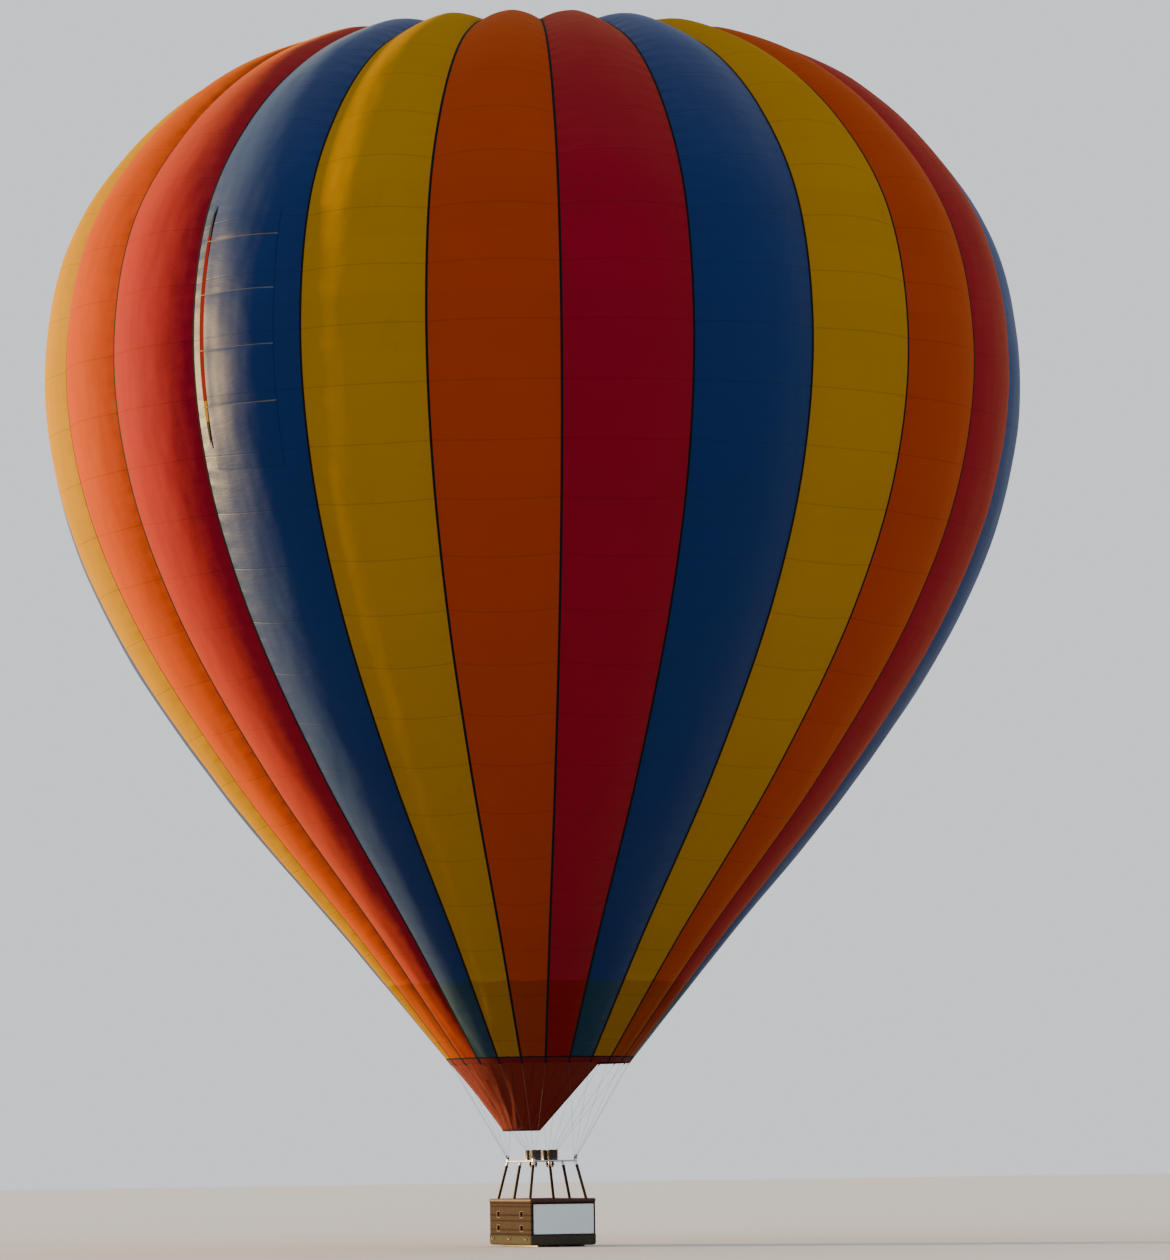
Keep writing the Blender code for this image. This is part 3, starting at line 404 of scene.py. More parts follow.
# The seam line of the envelope, from the mouth to the crown ring: height over the runners, radius
envelope = {
    "line": ((4.65, 2.30), (7.66, 4.63), (11.70, 7.93), (15.70, 10.56), (19.00, 11.93), (22.30, 12.385),
             (25.50, 11.82), (27.84, 10.36), (29.55, 8.45), (30.55, 6.30), (30.98, 4.30), (31.17, 2.20),
             (31.22, 0.20)),
    "gores": 24, "firstTape": -15.0, "tape": 0.050, "band": 0.20, "bulge": 0.25, "crumple": 0.014, "cloth": 0.006,
    "gap": 0.0003, "ventRadius": 4.30, "ventEdge": 0.12, "equator": 22.30, "widest": 12.385, "mouthEase": 3.0,
    "ventEase": 1.6,
}
goreColours = ("crimson", "blue", "yellow", "orange")


def smoothLine(knots, steps=24):  # centripetal Catmull-Rom
    first = [2 * a - b for a, b in zip(knots[0], knots[1])]
    last = [2 * a - b for a, b in zip(knots[-1], knots[-2])]
    points = [Vector((*p, 0)) for p in [first, *knots, last]]
    line = []
    for a, b, c, d in zip(points, points[1:], points[2:], points[3:]):
        t1 = (b - a).length ** 0.5
        t2 = t1 + (c - b).length ** 0.5
        t3 = t2 + (d - c).length ** 0.5
        for i in range(steps):
            t = t1 + (t2 - t1) * i / steps
            low, middle, high = a.lerp(b, t / t1), b.lerp(c, (t - t1) / (t2 - t1)), c.lerp(d, (t - t2) / (t3 - t2))
            line.append(low.lerp(middle, t / t2).lerp(middle.lerp(high, (t - t1) / (t3 - t1)), (t - t1) / (t2 - t1)))
    return line + [points[-2]]


seamLine = smoothLine(envelope["line"])
reach = [0.0]
for here, there in zip(seamLine, seamLine[1:]):
    reach.append(reach[-1] + (there - here).length)


def onLine(distance):  # height in the row frame, radius, and the normal as (outward, upward)
    low, high = 0, len(reach) - 2
    while low < high:
        middle = (low + high + 1) // 2
        low, high = (middle, high) if reach[middle] <= distance else (low, middle - 1)
    share = (distance - reach[low]) / (reach[low + 1] - reach[low])
    before, after = seamLine[max(low - 1, 0)], seamLine[min(low + 2, len(seamLine) - 1)]
    rise = (after - before).normalized()
    place = seamLine[low].lerp(seamLine[low + 1], share)
    return place.x + ground, place.y, (rise.x, -rise.y)


def whereRadius(radius):
    i = next(j for j in range(len(seamLine) - 1, 0, -1) if seamLine[j].y >= radius)
    share = (seamLine[i].y - radius) / (seamLine[i].y - seamLine[i + 1].y)
    return reach[i] + share * (reach[i + 1] - reach[i])


ventEdge = whereRadius(envelope["ventRadius"])
goreEnds = (envelope["band"] + envelope["gap"], ventEdge - envelope["ventEdge"] - envelope["gap"])
equatorAt = reach[min(range(len(seamLine)), key=lambda i: abs(seamLine[i].x - envelope["equator"]))]


def outward(azimuth):
    return Vector((math.sin(azimuth), -math.cos(azimuth), 0))


def beside(azimuth):
    return Vector((math.cos(azimuth), math.sin(azimuth), 0))


def tapeAzimuth(index):
    return math.radians(envelope["firstTape"]) + index * math.tau / envelope["gores"]


tapeAzimuths = [tapeAzimuth(k) for k in range(envelope["gores"])]


def ringSpot(azimuth, distance, depth=0.0):
    height, radius, normal = onLine(distance)
    return outward(azimuth) * (radius + depth * normal[0]) + up(height + depth * normal[1])


def bulgeAt(distance, radius):
    full = radius / envelope["widest"] if distance < equatorAt else 1.0
    atMouth = min(1.0, max(0.0, distance - goreEnds[0]) / envelope["mouthEase"])
    atVent = min(1.0, max(0.0, goreEnds[1] - distance) / envelope["ventEase"])
    return envelope["bulge"] * full * math.sin(atMouth * math.pi / 2) * math.sin(atVent * math.pi / 2)


def goreSpot(index, across, distance, depth=0.0):
    radius = onLine(distance)[1]
    halfTurn = math.pi / envelope["gores"] - (envelope["tape"] / 2 + envelope["gap"]) / radius
    azimuth = tapeAzimuth(index + 0.5) + across * halfTurn
    crumple = noise.noise(Vector((index * 7.3 + across * 1.6, distance * 0.8, 1.0))) * envelope["crumple"]
    out = depth + (bulgeAt(distance, radius) + crumple) * (1 - across**2)
    return ringSpot(azimuth, distance, out)


def halfWidth(distance):
    return onLine(distance)[1] * math.pi / envelope["gores"] - envelope["tape"] / 2


def goreLay(across, distance):
    return across * halfWidth(distance), distance, halfWidth(distance)


# Gores, each in two lengths that meet at a panel's seam
gore = {"join": 18.04, "rowStep": 0.30, "columns": 16}


def makeGores():
    across = spread(-1, 1, gore["columns"])
    for index in range(envelope["gores"]):
        colour = goreColours[index % 4]
        for part, first, last in (("lower", goreEnds[0], gore["join"]), ("upper", gore["join"], goreEnds[1])):
            rows = spread(first, last, round((last - first) / gore["rowStep"]))
            shape = Shape()
            shape.cloth(partial(goreSpot, index), across, rows, (0, -envelope["cloth"]), 0, goreLay)
            name = f"gore_{index + 1:02d}"
            piece = shape.make(f"{name}_{part}", colour, f"{colour}_cloth", 60, node=f"{name}_{colour}")
            wide = max(2 * halfWidth(s) for s in rows)
            area = sum(2 * halfWidth(s) for s in rows) * (last - first) / len(rows)
            wide * 1.01
            last - first
            area * 1.02


# Load tapes, the mouth band and the crown ring
tapes = {"depths": (0.002, -0.010), "ridge": 0.003, "rows": (110, 14), "ringDepths": (0.0025, -0.0095),
         "crownInner": 0.22, "crownOuter": 0.30, "crownRing": 0.26, "crownTube": 0.012, "crownLift": 0.0156,
         "bandSplit": 0.158, "bandPuffs": (0.001, 0.003)}


def makeTapes():
    shape, half = Shape(), envelope["tape"] / 2
    rows = spread(envelope["band"] + 2 * envelope["gap"], ventEdge, tapes["rows"][0])
    rows += spread(ventEdge, whereRadius(tapes["crownInner"]), tapes["rows"][1])[1:]
    for azimuth in tapeAzimuths:

        def tapeSpot(u, s, depth):
            ridged = tapes["ridge"] if u == 0 and depth > 0 else depth
            return ringSpot(azimuth, s, ridged) + beside(azimuth) * half * u
        shape.cloth(tapeSpot, (-1, 0, 1), rows, tapes["depths"], 0, lambda u, s: (half * u, s, half))
    turns = circle(8 * envelope["gores"])
    for low, high in ((ventEdge - envelope["ventEdge"], ventEdge),
                      (whereRadius(tapes["crownOuter"]), whereRadius(tapes["crownInner"]))):
        shape.cloth(ringSpot, turns, spread(low, high, 2), tapes["ringDepths"], 0,
                    lambda a, s: (s - (low + high) / 2, a * onLine(s)[1], (high - low) / 2), True)
    shape.make("load_tapes_webbing", "tape", "load_tape")
    band, edges = Shape(), (0.0, tapes["bandSplit"], envelope["band"])
    for low, high, slot, puff in zip(edges, edges[1:], (1, 0), tapes["bandPuffs"]):
        band.cloth(ringSpot, turns, (low, high), (puff, tapes["depths"][1]), slot,
                   lambda a, s: (0.0, a * envelope["line"][0][1], 0.02), True)
    band.make("mouth_band_cloth", "tape bandCloth", "load_tape", weld=False)
    ring, radius = Shape(), tapes["crownRing"]
    height = onLine(whereRadius(radius))[0] + tapes["crownLift"]
    ring.hoop(up(height), outward(0) * radius, beside(0) * radius, tapes["crownTube"], 72, 14)
    ring.make("crown_ring_steel", "steel", "stainless_steel")


# Parachute vent: a disc under the crown tapes that billows up a little between them
vent = {"overlap": 0.40, "billow": 0.13, "fullFrom": 3.2, "columns": 12, "rows": 30, "cloth": 0.004,
        "under": 0.0115, "clear": (0.001, 0.012), "hub": 0.30, "hubEdge": 0.33, "hubDrop": 0.030, "flat": 9.5,
        "sewn": 4.72}
ventHem = ventEdge - envelope["ventEdge"] / 2


def ventSpot(azimuth, across, distance, thick):
    inside = min(1.0, max(0.0, distance - ventEdge))
    full = min(1.0, onLine(distance)[1] / vent["fullFrom"])
    rise = vent["billow"] * inside * inside * (3 - 2 * inside) * full
    clear = vent["clear"][0 if ventHem - 0.15 < distance <= ventEdge + 0.01 else 1]
    return ringSpot(azimuth, distance, -vent["under"] - clear - thick + rise * (1 - across * across))


def makeParachuteVent():
    rows = [ventEdge - vent["overlap"], ventHem - 0.1, ventHem]
    rows += spread(ventEdge, whereRadius(0.5), vent["rows"]) + [whereRadius(vent["hub"])]
    shape, halfTurn = Shape(), math.pi / envelope["gores"]
    for k in range(envelope["gores"]):
        shape.cloth(lambda u, s, thick: ventSpot(tapeAzimuth(k + (1 + u) / 2), u, s, thick),
                    spread(-1, 1, vent["columns"]), rows, (0, vent["cloth"]), k % 4,
                    lambda u, s: (u * onLine(s)[1] * halfTurn, s, onLine(s)[1] * halfTurn + 0.1))
    hub, edge = vent["hub"], vent["hubEdge"]
    top = onLine(whereRadius(hub))[0] - vent["hubDrop"]
    shape.lathe([(0.0, top + 0.006), (hub, top + 0.008), (edge, top + 0.004), (edge, top - 0.004), (0.0, top)],
                (0, 0, 0), 48, 4)
    piece = shape.make("parachute_vent_cloth", " ".join(goreColours) + " tape", "yellow_cloth", 60, False,
                       "parachute_vent")


# Turning vents: a quilted panel sewn down on three sides, beside a slit that shows red and yellow cloth
flap = {"gores": ((21, 1, "left"), (9, -1, "right")), "low": 17.4, "high": 23.7, "edges": (-0.69, 0.60),
        "tapes": (18.95, 20.30, 21.65, 22.99), "tape": 0.013, "tapeLift": 0.006, "tapeEnds": (0.030, 0.060),
        "stand": 0.008, "gape": 0.045, "puff": 0.075, "cloth": 0.004, "measuredAt": 20.5, "slitLift": 0.026,
        "slit": (17.95, 23.95, -0.765, 0.062), "cloths": (("slitYellow", 18.6, 19.1), ("slitRed", 19.1, 23.15))}


def flapLift(across, distance):  # how far the panel stands off its gore
    low, high = flap["low"], flap["high"]
    joints = [low, *flap["tapes"], high]
    i = max(j for j in range(len(joints) - 1) if joints[j] <= distance or j == 0)
    local = min(1.0, (distance - joints[i]) / (joints[i + 1] - joints[i]))
    share = (across - flap["edges"][0]) / (flap["edges"][1] - flap["edges"][0])
    whole = math.sin(math.pi * min(1.0, max(0.0, (distance - low) / (high - low)))) ** 0.5
    puff = flap["puff"] * (0.35 + 0.65 * math.sin(math.pi * local) ** 0.5)
    gape = flap["gape"] * max(0.0, 1 - share * 5) ** 2
    return flap["stand"] + whole * (gape + puff * math.sin(math.pi * min(1.0, max(0.0, share))) ** 0.6)


def slitSpot(index, side, across, distance, thick):
    first, last, middle, half = flap["slit"]
    wide = half * math.sin(math.pi * (distance - first) / (last - first)) ** 0.5 + 0.001
    depth = flap["slitLift"] + 0.008 * across - thick
    return goreSpot(index, side * (middle + wide * across), distance, depth)


def makeTurningVents():
    low, high = flap["low"], flap["high"]
    rows = sorted(set(spread(low, high, 72) + list(flap["tapes"])))
    across = spread(*flap["edges"], 26)
    first, last, middle, _ = flap["slit"]
    wide = flap["tape"]
    lifts = dict(zip((middle - 0.07, middle), flap["tapeEnds"]))  # where the tapes cross the slit
    cloth = (0, flap["cloth"])
    for index, side, name in flap["gores"]:
        shape = Shape()
        shape.cloth(lambda u, s, thick: goreSpot(index, side * u, s, flapLift(u, s) + thick), across, rows,
                    cloth[::-1], 0, lambda u, s: goreLay(side * u, s))
        for place in flap["tapes"]:  # pale tapes across the panel and over the slit

            def tapeSpot(u, w, thick):
                lift = lifts.get(u, flapLift(u, place) + flap["tapeLift"])
                return goreSpot(index, side * u, place + w, lift - thick)
            shape.cloth(tapeSpot, [*lifts, *across], (-wide, wide), (0, 0.003), 1)
        piece = shape.make(f"turning_vent_{name}_panel", "blue paleTape", "blue_cloth", 60)
        flat = (flap["edges"][1] - flap["edges"][0]) * halfWidth(flap["measuredAt"])
        flat * 1.04
        strip = Shape()
        cuts = sorted(set(spread(first, last, 40) + [edge for _, a, b in flap["cloths"] for edge in (a, b)]))
        for a, b in zip(cuts, cuts[1:]):
            # Outside the yellow and red cloths the strip takes the black tape finish: painted shade in the narrowing
            # ends of the slit opening
            slot = next((i + 1 for i, (_, c, d) in enumerate(flap["cloths"]) if c <= (a + b) / 2 < d), 0)
            strip.cloth(partial(slitSpot, index, side), spread(-1, 1, 4), (a, b), cloth, slot)
        strip.make(f"turning_vent_{name}_slit", "tape slitYellow slitRed", angle=60, weld=False)


# Scoop: cloth from the mouth band down to a hem over the burners
scoop = {"firstGore": 2, "gores": 14, "top": 0.10, "bottomHeight": 2.95, "bottomRadius": 0.98, "bottomSpan": 124,
         "columns": 112, "rows": 26, "cloth": 0.005, "behind": 0.0118, "hem": 0.014, "seamEvery": 8,
         "seam": 0.0035, "sag": 0.05, "pleat": 0.010, "crumple": 0.045, "flat": (8.6, 2.45), "area": 12.9}


def scoopSpot(j, row, depth):
    share = j / scoop["columns"]
    first = tapeAzimuth(scoop["firstGore"] + 0.5)
    span = scoop["gores"] * math.tau / envelope["gores"]
    top = ringSpot(first - span * share, scoop["top"] if row == 0 else 0.0, -scoop["behind"] - depth)
    if row == 0:
        return top
    azimuth = first - span / 2 + math.radians(scoop["bottomSpan"]) * (0.5 - share)
    bottom = outward(azimuth) * (scoop["bottomRadius"] - depth) + up(ground + scoop["bottomHeight"])
    down = (row - 1) / (scoop["rows"] - 1)
    fold = math.sin(j * 0.9) * scoop["pleat"]
    fold += noise.noise(Vector((j * 0.12, down * 2.2, 4.0))) * scoop["crumple"] + scoop["sag"]
    return top.lerp(bottom, down) - outward(azimuth) * fold * math.sin(math.pi * down) * 0.9


def makeScoop():
    shape = Shape()
    columns, rows, cloth = scoop["columns"], scoop["rows"], scoop["cloth"]
    shape.cloth(scoopSpot, range(columns + 1), range(rows + 1), (0, cloth))
    hems = [[(j, i) for i in range(rows + 1)] for j in (0, columns)] + [[(j, rows) for j in range(columns + 1)]]
    for line in hems:
        shape.tube([scoopSpot(j, i, cloth / 2) for j, i in line], scoop["hem"], 8, 1)
    for j in range(scoop["seamEvery"], columns, scoop["seamEvery"]):  # flat seams down the panels
        shape.tube([scoopSpot(j, i, -0.0005) for i in range(1, rows + 1)], scoop["seam"], 6, 1)
    piece = shape.make("scoop_cloth", "scoop tape", "crimson_cloth", 60)


def at(along, across, height):  # the basket's own directions: along points to the near end
    return Vector((across, -along, ground + height))


# Wires from the tape ends to the corners of the burner frame
rigging = {"frameHeight": 2.17, "halfLength": 1.05, "halfWidth": 0.565, "lug": 0.06, "perCorner": 6, "step": 0.020,
           "radius": 0.003, "sleeve": 0.0062, "eye": (0.024, 0.013, 0.0036), "eyeBelow": 0.026,
           "plate": (0.125, 0.020, 0.035), "bolt": 0.008, "boltAt": (0.045, 0.016), "loopWide": 0.02,
           "loop": ((0.19, 0.008), (0.10, 0.008), (0.01, 0.008), (-0.02, 0.006), (-0.03, 0.0)),
           "corners": (("near_right", 1, 1), ("far_right", -1, 1), ("far_left", -1, -1), ("near_left", 1, -1))}


def makeWires():
    each = rigging["perCorner"]
    for quarter, (name, along, across) in enumerate(rigging["corners"]):
        corner = at(along * rigging["halfLength"], across * rigging["halfWidth"],
                    rigging["frameHeight"] + rigging["lug"] + envelope["gap"])
        azimuths = [tapeAzimuth(1 + quarter * each + k) for k in range(each)]
        ends = [ringSpot(azimuth, 0.0, -0.004) for azimuth in azimuths]
        line = Vector((*(ends[-1] - ends[0]).xy.normalized(), 0))
        turn = Matrix((line, Vector((-line.y, line.x, 0)), up(1))).transposed()
        shape = Shape()
        shape.block(corner + up(rigging["plate"][2] / 2), rigging["plate"], 0, 0.004, turn)
        beyond, height = rigging["boltAt"]
        for side in (-1, 1):
            shape.pin(corner + line * side * beyond + up(height), turn.col[1] * 0.016, rigging["bolt"], 6)
        for i, (azimuth, end) in enumerate(zip(azimuths, ends)):
            foot = corner + line * rigging["step"] * (i - (each - 1) / 2) + up(0.034)
            run = (end - foot).normalized()
            shape.tube([foot, end - run * 0.002], rigging["radius"], 8)
            for place, long in ((foot + run * 0.01, 0.05), (end - run * 0.075, 0.045)):
                shape.tube([place, place + run * long], rigging["sleeve"], 8)
            long, wide, thick = rigging["eye"]
            cross = run.cross(outward(azimuth)).normalized()
            shape.hoop(end - run * rigging["eyeBelow"], run * long, cross * wide, thick, 16, 6)
        shape.make(f"flying_wires_{name}_cables", "wire", "stainless_steel", 35)
    loops, wide = Shape(), rigging["loopWide"]
    for azimuth in tapeAzimuths:  # each tape's end folds round its wire's eye
        outer = [[ringSpot(azimuth, s, d) + beside(azimuth) * u * wide for u in (-1, 0, 1)] for s, d in rigging["loop"]]
        inner = [[p - outward(azimuth) * 0.004 for p in row] for row in outer]
        loops.sheet(outer, inner, 0, [[(u * wide, i * 0.05, wide) for u in (-1, 0, 1)] for i in range(len(outer))])
    loops.make("tape_end_loops", "tape", angle=60)


# Burner frame with its sockets, and the uprights in their leather sleeves
burnerFrame = {"tube": 0.022, "crossTube": 0.02134, "overhang": 0.02, "boss": 0.0198, "bossLong": 0.06,
               "corner": (0.07, 0.07, 0.086), "cornerLift": 0.017, "bolt": (0.0385, 0.009), "socket": 0.036,
               "socketLong": 0.11, "socketEnds": (0.029, 0.033), "pinAt": 0.085, "pin": (0.043, 0.006),
               "foot": (1.343, 0.776, 1.068), "upright": 0.041, "seat": (0.086, 0.10, 0.06)}
sleeve = {"steps": 60, "thinner": 0.0025, "wrinkle": 0.0022, "cuff": 0.002, "seam": 0.003, "seamOut": 0.0385,
          "hem": 0.004, "hemOut": 0.0405}
uprights = (("near_right", 1, 1), ("near_left", 1, -1), ("middle_right", 0, 1), ("middle_left", 0, -1),
            ("far_right", -1, 1), ("far_left", -1, -1))
burnerHeight = rigging["frameHeight"]


def uprightLine(along, across):
    top = at(along * rigging["halfLength"], across * rigging["halfWidth"], burnerHeight)
    foot = at(along * burnerFrame["foot"][0], across * burnerFrame["foot"][1], burnerFrame["foot"][2])
    return top, foot, (foot - top).normalized()


def makeFrame():
    shape = Shape()
    long, wide, over = rigging["halfLength"], rigging["halfWidth"], burnerFrame["overhang"]
    for side in (-1, 1):
        shape.tube([at(a, side * wide, burnerHeight) for a in spread(-long - over, long + over, 6)],
                   burnerFrame["tube"], 24)
        shape.tube([at(side * long, b, burnerHeight) for b in spread(-wide, wide, 4)], burnerFrame["crossTube"], 24)
        shape.tube([at(0, side * b, burnerHeight) for b in (wide - burnerFrame["bossLong"], wide)],
                   burnerFrame["boss"], 20)
    half, radius = burnerFrame["bolt"]
    for _, along, across in rigging["corners"]:
        corner = at(along * long, across * wide, burnerHeight + burnerFrame["cornerLift"])
        shape.block(corner, burnerFrame["corner"], 0, 0.006, None, 3)
        for way in (Vector((half, 0, 0)), Vector((0, half, 0))):
            shape.pin(corner + up(0.012), way, radius, 6, 1)
    deep, socket = burnerFrame["socketLong"], burnerFrame["socket"]
    inner, outer = burnerFrame["socketEnds"]
    half, radius = burnerFrame["pin"]
    for _, along, across in uprights:
        top, _, down = uprightLine(along, across)
        shape.tube([top + down * s for s in (0, 0.02, deep - 0.004, deep)], [inner, socket, socket, outer], 24)
        way = down.cross(up(1)).normalized()
        shape.pin(top + down * burnerFrame["pinAt"], way * half, radius, 8, 1)
    shape.make("burner_frame_tubes", "steel wire", "stainless_steel", 35)


def makeUprights():
    steps, radius = sleeve["steps"], burnerFrame["upright"] - sleeve["thinner"]
    for name, along, across in uprights:
        top, foot, down = uprightLine(along, across)
        start = top + down * (burnerFrame["socketLong"] + 0.001)
        places = [start.lerp(foot, share) for share in spread(0, 1, steps)]
        radii = [radius + (sleeve["cuff"] if i in (1, 2, steps - 1, steps - 2) else 0)
                 + sleeve["wrinkle"] * noise.noise(Vector((i * 0.55, along * 3 + across, 0)))
                 for i in range(steps + 1)]
        shape = Shape()
        shape.tube(places, radii, 20)
        outside = Vector((across if along == 0 else across * 0.5, -along, 0)).normalized()
        outside = (outside - down * outside.dot(down)).normalized()
        shape.tube([p + outside * sleeve["seamOut"] for p in places[1:-1]], sleeve["seam"], 6, 1)
        out = sleeve["hemOut"]
        for i in (3, steps - 3):
            shape.hoop(places[i], outside * out, down.cross(outside) * out, sleeve["hem"], 20, 6, 1)
        shape.make(f"upright_{name}_sleeve", "sleeve tape", "sleeve_leather", 50)


# Gimbal: a ring that pitches in the frame, and a block that rolls in the ring and carries the burners' valves.
# A bar is the along and across of its middle, its size and its bevel; one that is off the middle has a twin.
gimbalRing = {
    "half": (0.50, 0.485), "pin": (0.49, 0.5035), "pinRadius": 0.011, "seat": (0.492, 0.457), "seatRadius": 0.0176,
    "bolt": (0.017, 0.008),
    "bars": ((0, 0.485, (0.026, 1.026, 0.026), 0.003), (0.50, 0, (0.944, 0.026, 0.026), 0.003)),
}
rollBlock = {
    "pin": (0.40, 0.4567),
    "bars": ((0, 0.385, (0.040, 0.81, 0.040), 0.004), (0.385, 0, (0.73, 0.040, 0.040), 0.004),
             (0, 0.225, (0.09, 0.77, 0.030), 0.003), (0, 0, (0.77, 0.05, 0.034), 0.003),
             (0, 0, (0.05, 0.77, 0.0335), 0.003)),
    "valve": ((0.0, -0.16), (0.020, -0.16), (0.024, -0.150), (0.024, -0.118), (0.034, -0.112), (0.036, -0.06),
              (0.028, -0.052), (0.028, -0.030), (0.036, -0.026), (0.036, -0.012), (0.0, -0.012)),
    "lever": ((0.02, -0.128, 0.006), (0.10, -0.126, 0.007), (0.158, -0.130, 0.008)),
    "grip": ((0.085, -0.127, 0.0095), (0.158, -0.130, 0.0105)),
    "outlet": (0.02, 0.06), "outletHeight": -0.09, "bolts": (0.03, 0.052, 0), "bolt": (-0.020, -0.013),
}
burnerPlaces = ((1, 1), (1, -1), (-1, 1), (-1, -1))
burner = {"spacing": 0.225, "coil": 0.1415, "tube": 0.0088, "turns": 7, "turnSteps": 28, "low": 0.045,
          "high": 0.285, "jets": 16, "jetRing": 0.075, "stays": 3,
          "lead": ((0.10, 0, 0.026), (0.125, 0, 0.028), (0.138, 0, 0.036)),
          "back": ((0.1415, 0, 0.285), (0.125, 0.004, 0.289), (0.108, 0.004, 0.27), (0.100, 0, 0.10),
                   (0.085, 0, 0.068)),
          "backTube": 0.0075, "jetRingAt": 0.066, "jet": (0.070, 0.084), "pilot": (0.04, 0.098, 0.10, 0.118),
          "pilotRadii": (0.010, 0.010, 0.016, 0.016), "stayOut": 0.1515, "stay": (0.030, 0.15, 0.290),
          "can": ((0.1275, 0.040), (0.1275, 0.272), (0.1305, 0.276), (0.1305, 0.281), (0.1255, 0.281),
                  (0.1255, 0.044), (0.124, 0.040)),
          "pan": ((0.0, 0.0155), (0.121, 0.0155), (0.124, 0.019), (0.124, 0.040), (0.100, 0.044), (0.0, 0.046))}


def makeBars(bars):
    shape = Shape()
    for along, across, size, bevel in bars:
        for side in (-1, 1) if along or across else (1,):
            shape.block(at(side * along, side * across, burnerHeight), size, 0, bevel)
    return shape


def makeGimbal():
    (long, wide), (half, radius) = gimbalRing["half"], gimbalRing["bolt"]
    ring, block = makeBars(gimbalRing["bars"]), makeBars(rollBlock["bars"])
    for side in (-1, 1):
        ring.tube([at(0, side * s, burnerHeight) for s in gimbalRing["pin"]], gimbalRing["pinRadius"], 16)
        ring.tube([at(side * s, 0, burnerHeight) for s in gimbalRing["seat"]], gimbalRing["seatRadius"], 16)
        block.tube([at(side * s, 0, burnerHeight) for s in rollBlock["pin"]], gimbalRing["pinRadius"], 16)
        for end in (-1, 1):
            ring.pin(at(side * long, end * wide, burnerHeight), up(half), radius, 6, 1)
    ring.make("gimbal_ring_bars", "steel wire", "stainless_steel", 35, False, "gimbal")
    for end, side in burnerPlaces:
        base = at(end * burner["spacing"], side * burner["spacing"], burnerHeight)
        block.lathe(rollBlock["valve"], base, 20, 1)
        for part, sides, slot in (("lever", 10, 2), ("grip", 12, 3)):
            path = [(0, end * s, h) for s, h, _ in rollBlock[part]]
            block.tube(path, [r for _, _, r in rollBlock[part]], sides, slot, base=base)
        block.tube([(side * s, 0, rollBlock["outletHeight"]) for s in rollBlock["outlet"]], 0.010, 8, 2, base=base)
        for turn in circle(4):
            spot = outward(turn + math.pi / 4) * Vector(rollBlock["bolts"])
            block.tube([spot + up(h) for h in rollBlock["bolt"]], 0.007, 6, 2, base=base)
    block.make("burner_block_bars", "steel darkMetal brass grip", "stainless_steel", 35, False, "burners")


def makeBurners():
    rises = spread(burner["low"], burner["high"], burner["turns"] * burner["turnSteps"])
    helix = [beside(math.tau * i / burner["turnSteps"]) * burner["coil"] + up(rise) for i, rise in enumerate(rises)]
    for number, (along, across) in enumerate(burnerPlaces):
        centre = at(along * burner["spacing"], across * burner["spacing"], burnerHeight)
        shape = Shape()
        shape.tube([*burner["lead"], *helix], burner["tube"], 9, base=centre)
        shape.tube(burner["back"], burner["backTube"], 9, base=centre)
        shape.lathe(burner["can"], centre, 40, 1, True)
        shape.lathe(burner["pan"], centre, 36, 1)
        shape.level(centre + up(burner["jetRingAt"]), burner["jetRing"], 0.009, 36, 10, 2)
        for t in circle(burner["jets"]):
            shape.tube([beside(t) * burner["jetRing"] + up(h) for h in burner["jet"]], 0.0035, 6, 2, base=centre)
        shape.tube([up(h) for h in burner["pilot"]], burner["pilotRadii"], 12, 2, base=centre)
        for t in circle(burner["stays"]):
            way = beside(t + math.tau / 12) * burner["stayOut"]
            shape.tube([way + up(h) for h in burner["stay"]], 0.003, 6, 1, base=centre)
        shape.make(f"burner_{number + 1}_coil", "coil can brass", "burner_steel", body="burners")


# Basket: woven walls with step holes
basket = {"length": 1.73, "width": 0.87, "corner": 0.08, "wall": 0.045, "low": 0.0853, "top": 1.142, "cell": 0.020,
          "firstRow": 0.095, "row": 0.0125, "rows": 83, "relief": 0.0035, "behind": 0.003,
          "bandRows": (17, 18, 19, 20, 27, 28, 29, 45, 46, 47, 56, 57, 58, 59, 74, 75, 76, 81, 82),
          "hole": (0.12, 0.075), "holeHeights": (0.47, 0.82), "holePlaces": (-0.95, 0.95), "holeShape": 0.35,
          "holeRim": ((0.012, 0.004), (0.012, -0.050), (-0.006, -0.050), (-0.010, -0.030), (-0.010, -0.006),
                      (-0.004, 0.004))}


def outlineStations(offset, cell, corner=6):  # (along, across, outward along, outward across, run) round the basket
    radius = basket["corner"]
    long, wide = basket["length"] - radius, basket["width"] - radius
    corners = ((long, wide), (-long, wide), (-long, -wide), (long, -wide))
    stations, run = [], 0.0

    def add(spot, way, distance):
        stations.append((*[s + w * (radius + offset) for s, w in zip(spot, way)], *way, distance))
    for k, normal in enumerate(((0, 1), (-1, 0), (0, -1), (1, 0))):
        start, end = corners[k], corners[(k + 1) % 4]
        length = abs(end[0] - start[0]) + abs(end[1] - start[1])
        for share in spread(0, 1, round(length / cell))[:-1]:
            add([a + (b - a) * share for a, b in zip(start, end)], normal, run + length * share)
        run += length
        for turn in spread(0, math.pi / 2, corner)[:-1]:
            a = math.atan2(normal[1], normal[0]) + turn
            add(end, (math.cos(a), math.sin(a)), run + radius * turn)
        run += radius * math.pi / 2
    return stations


def stationSpot(station, out, height):
    a, b, na, nb, _ = station
    return at(a + na * out, b + nb * out, height)


def nearest(stations, run):
    return min(stations, key=lambda station: abs(station[4] - run))


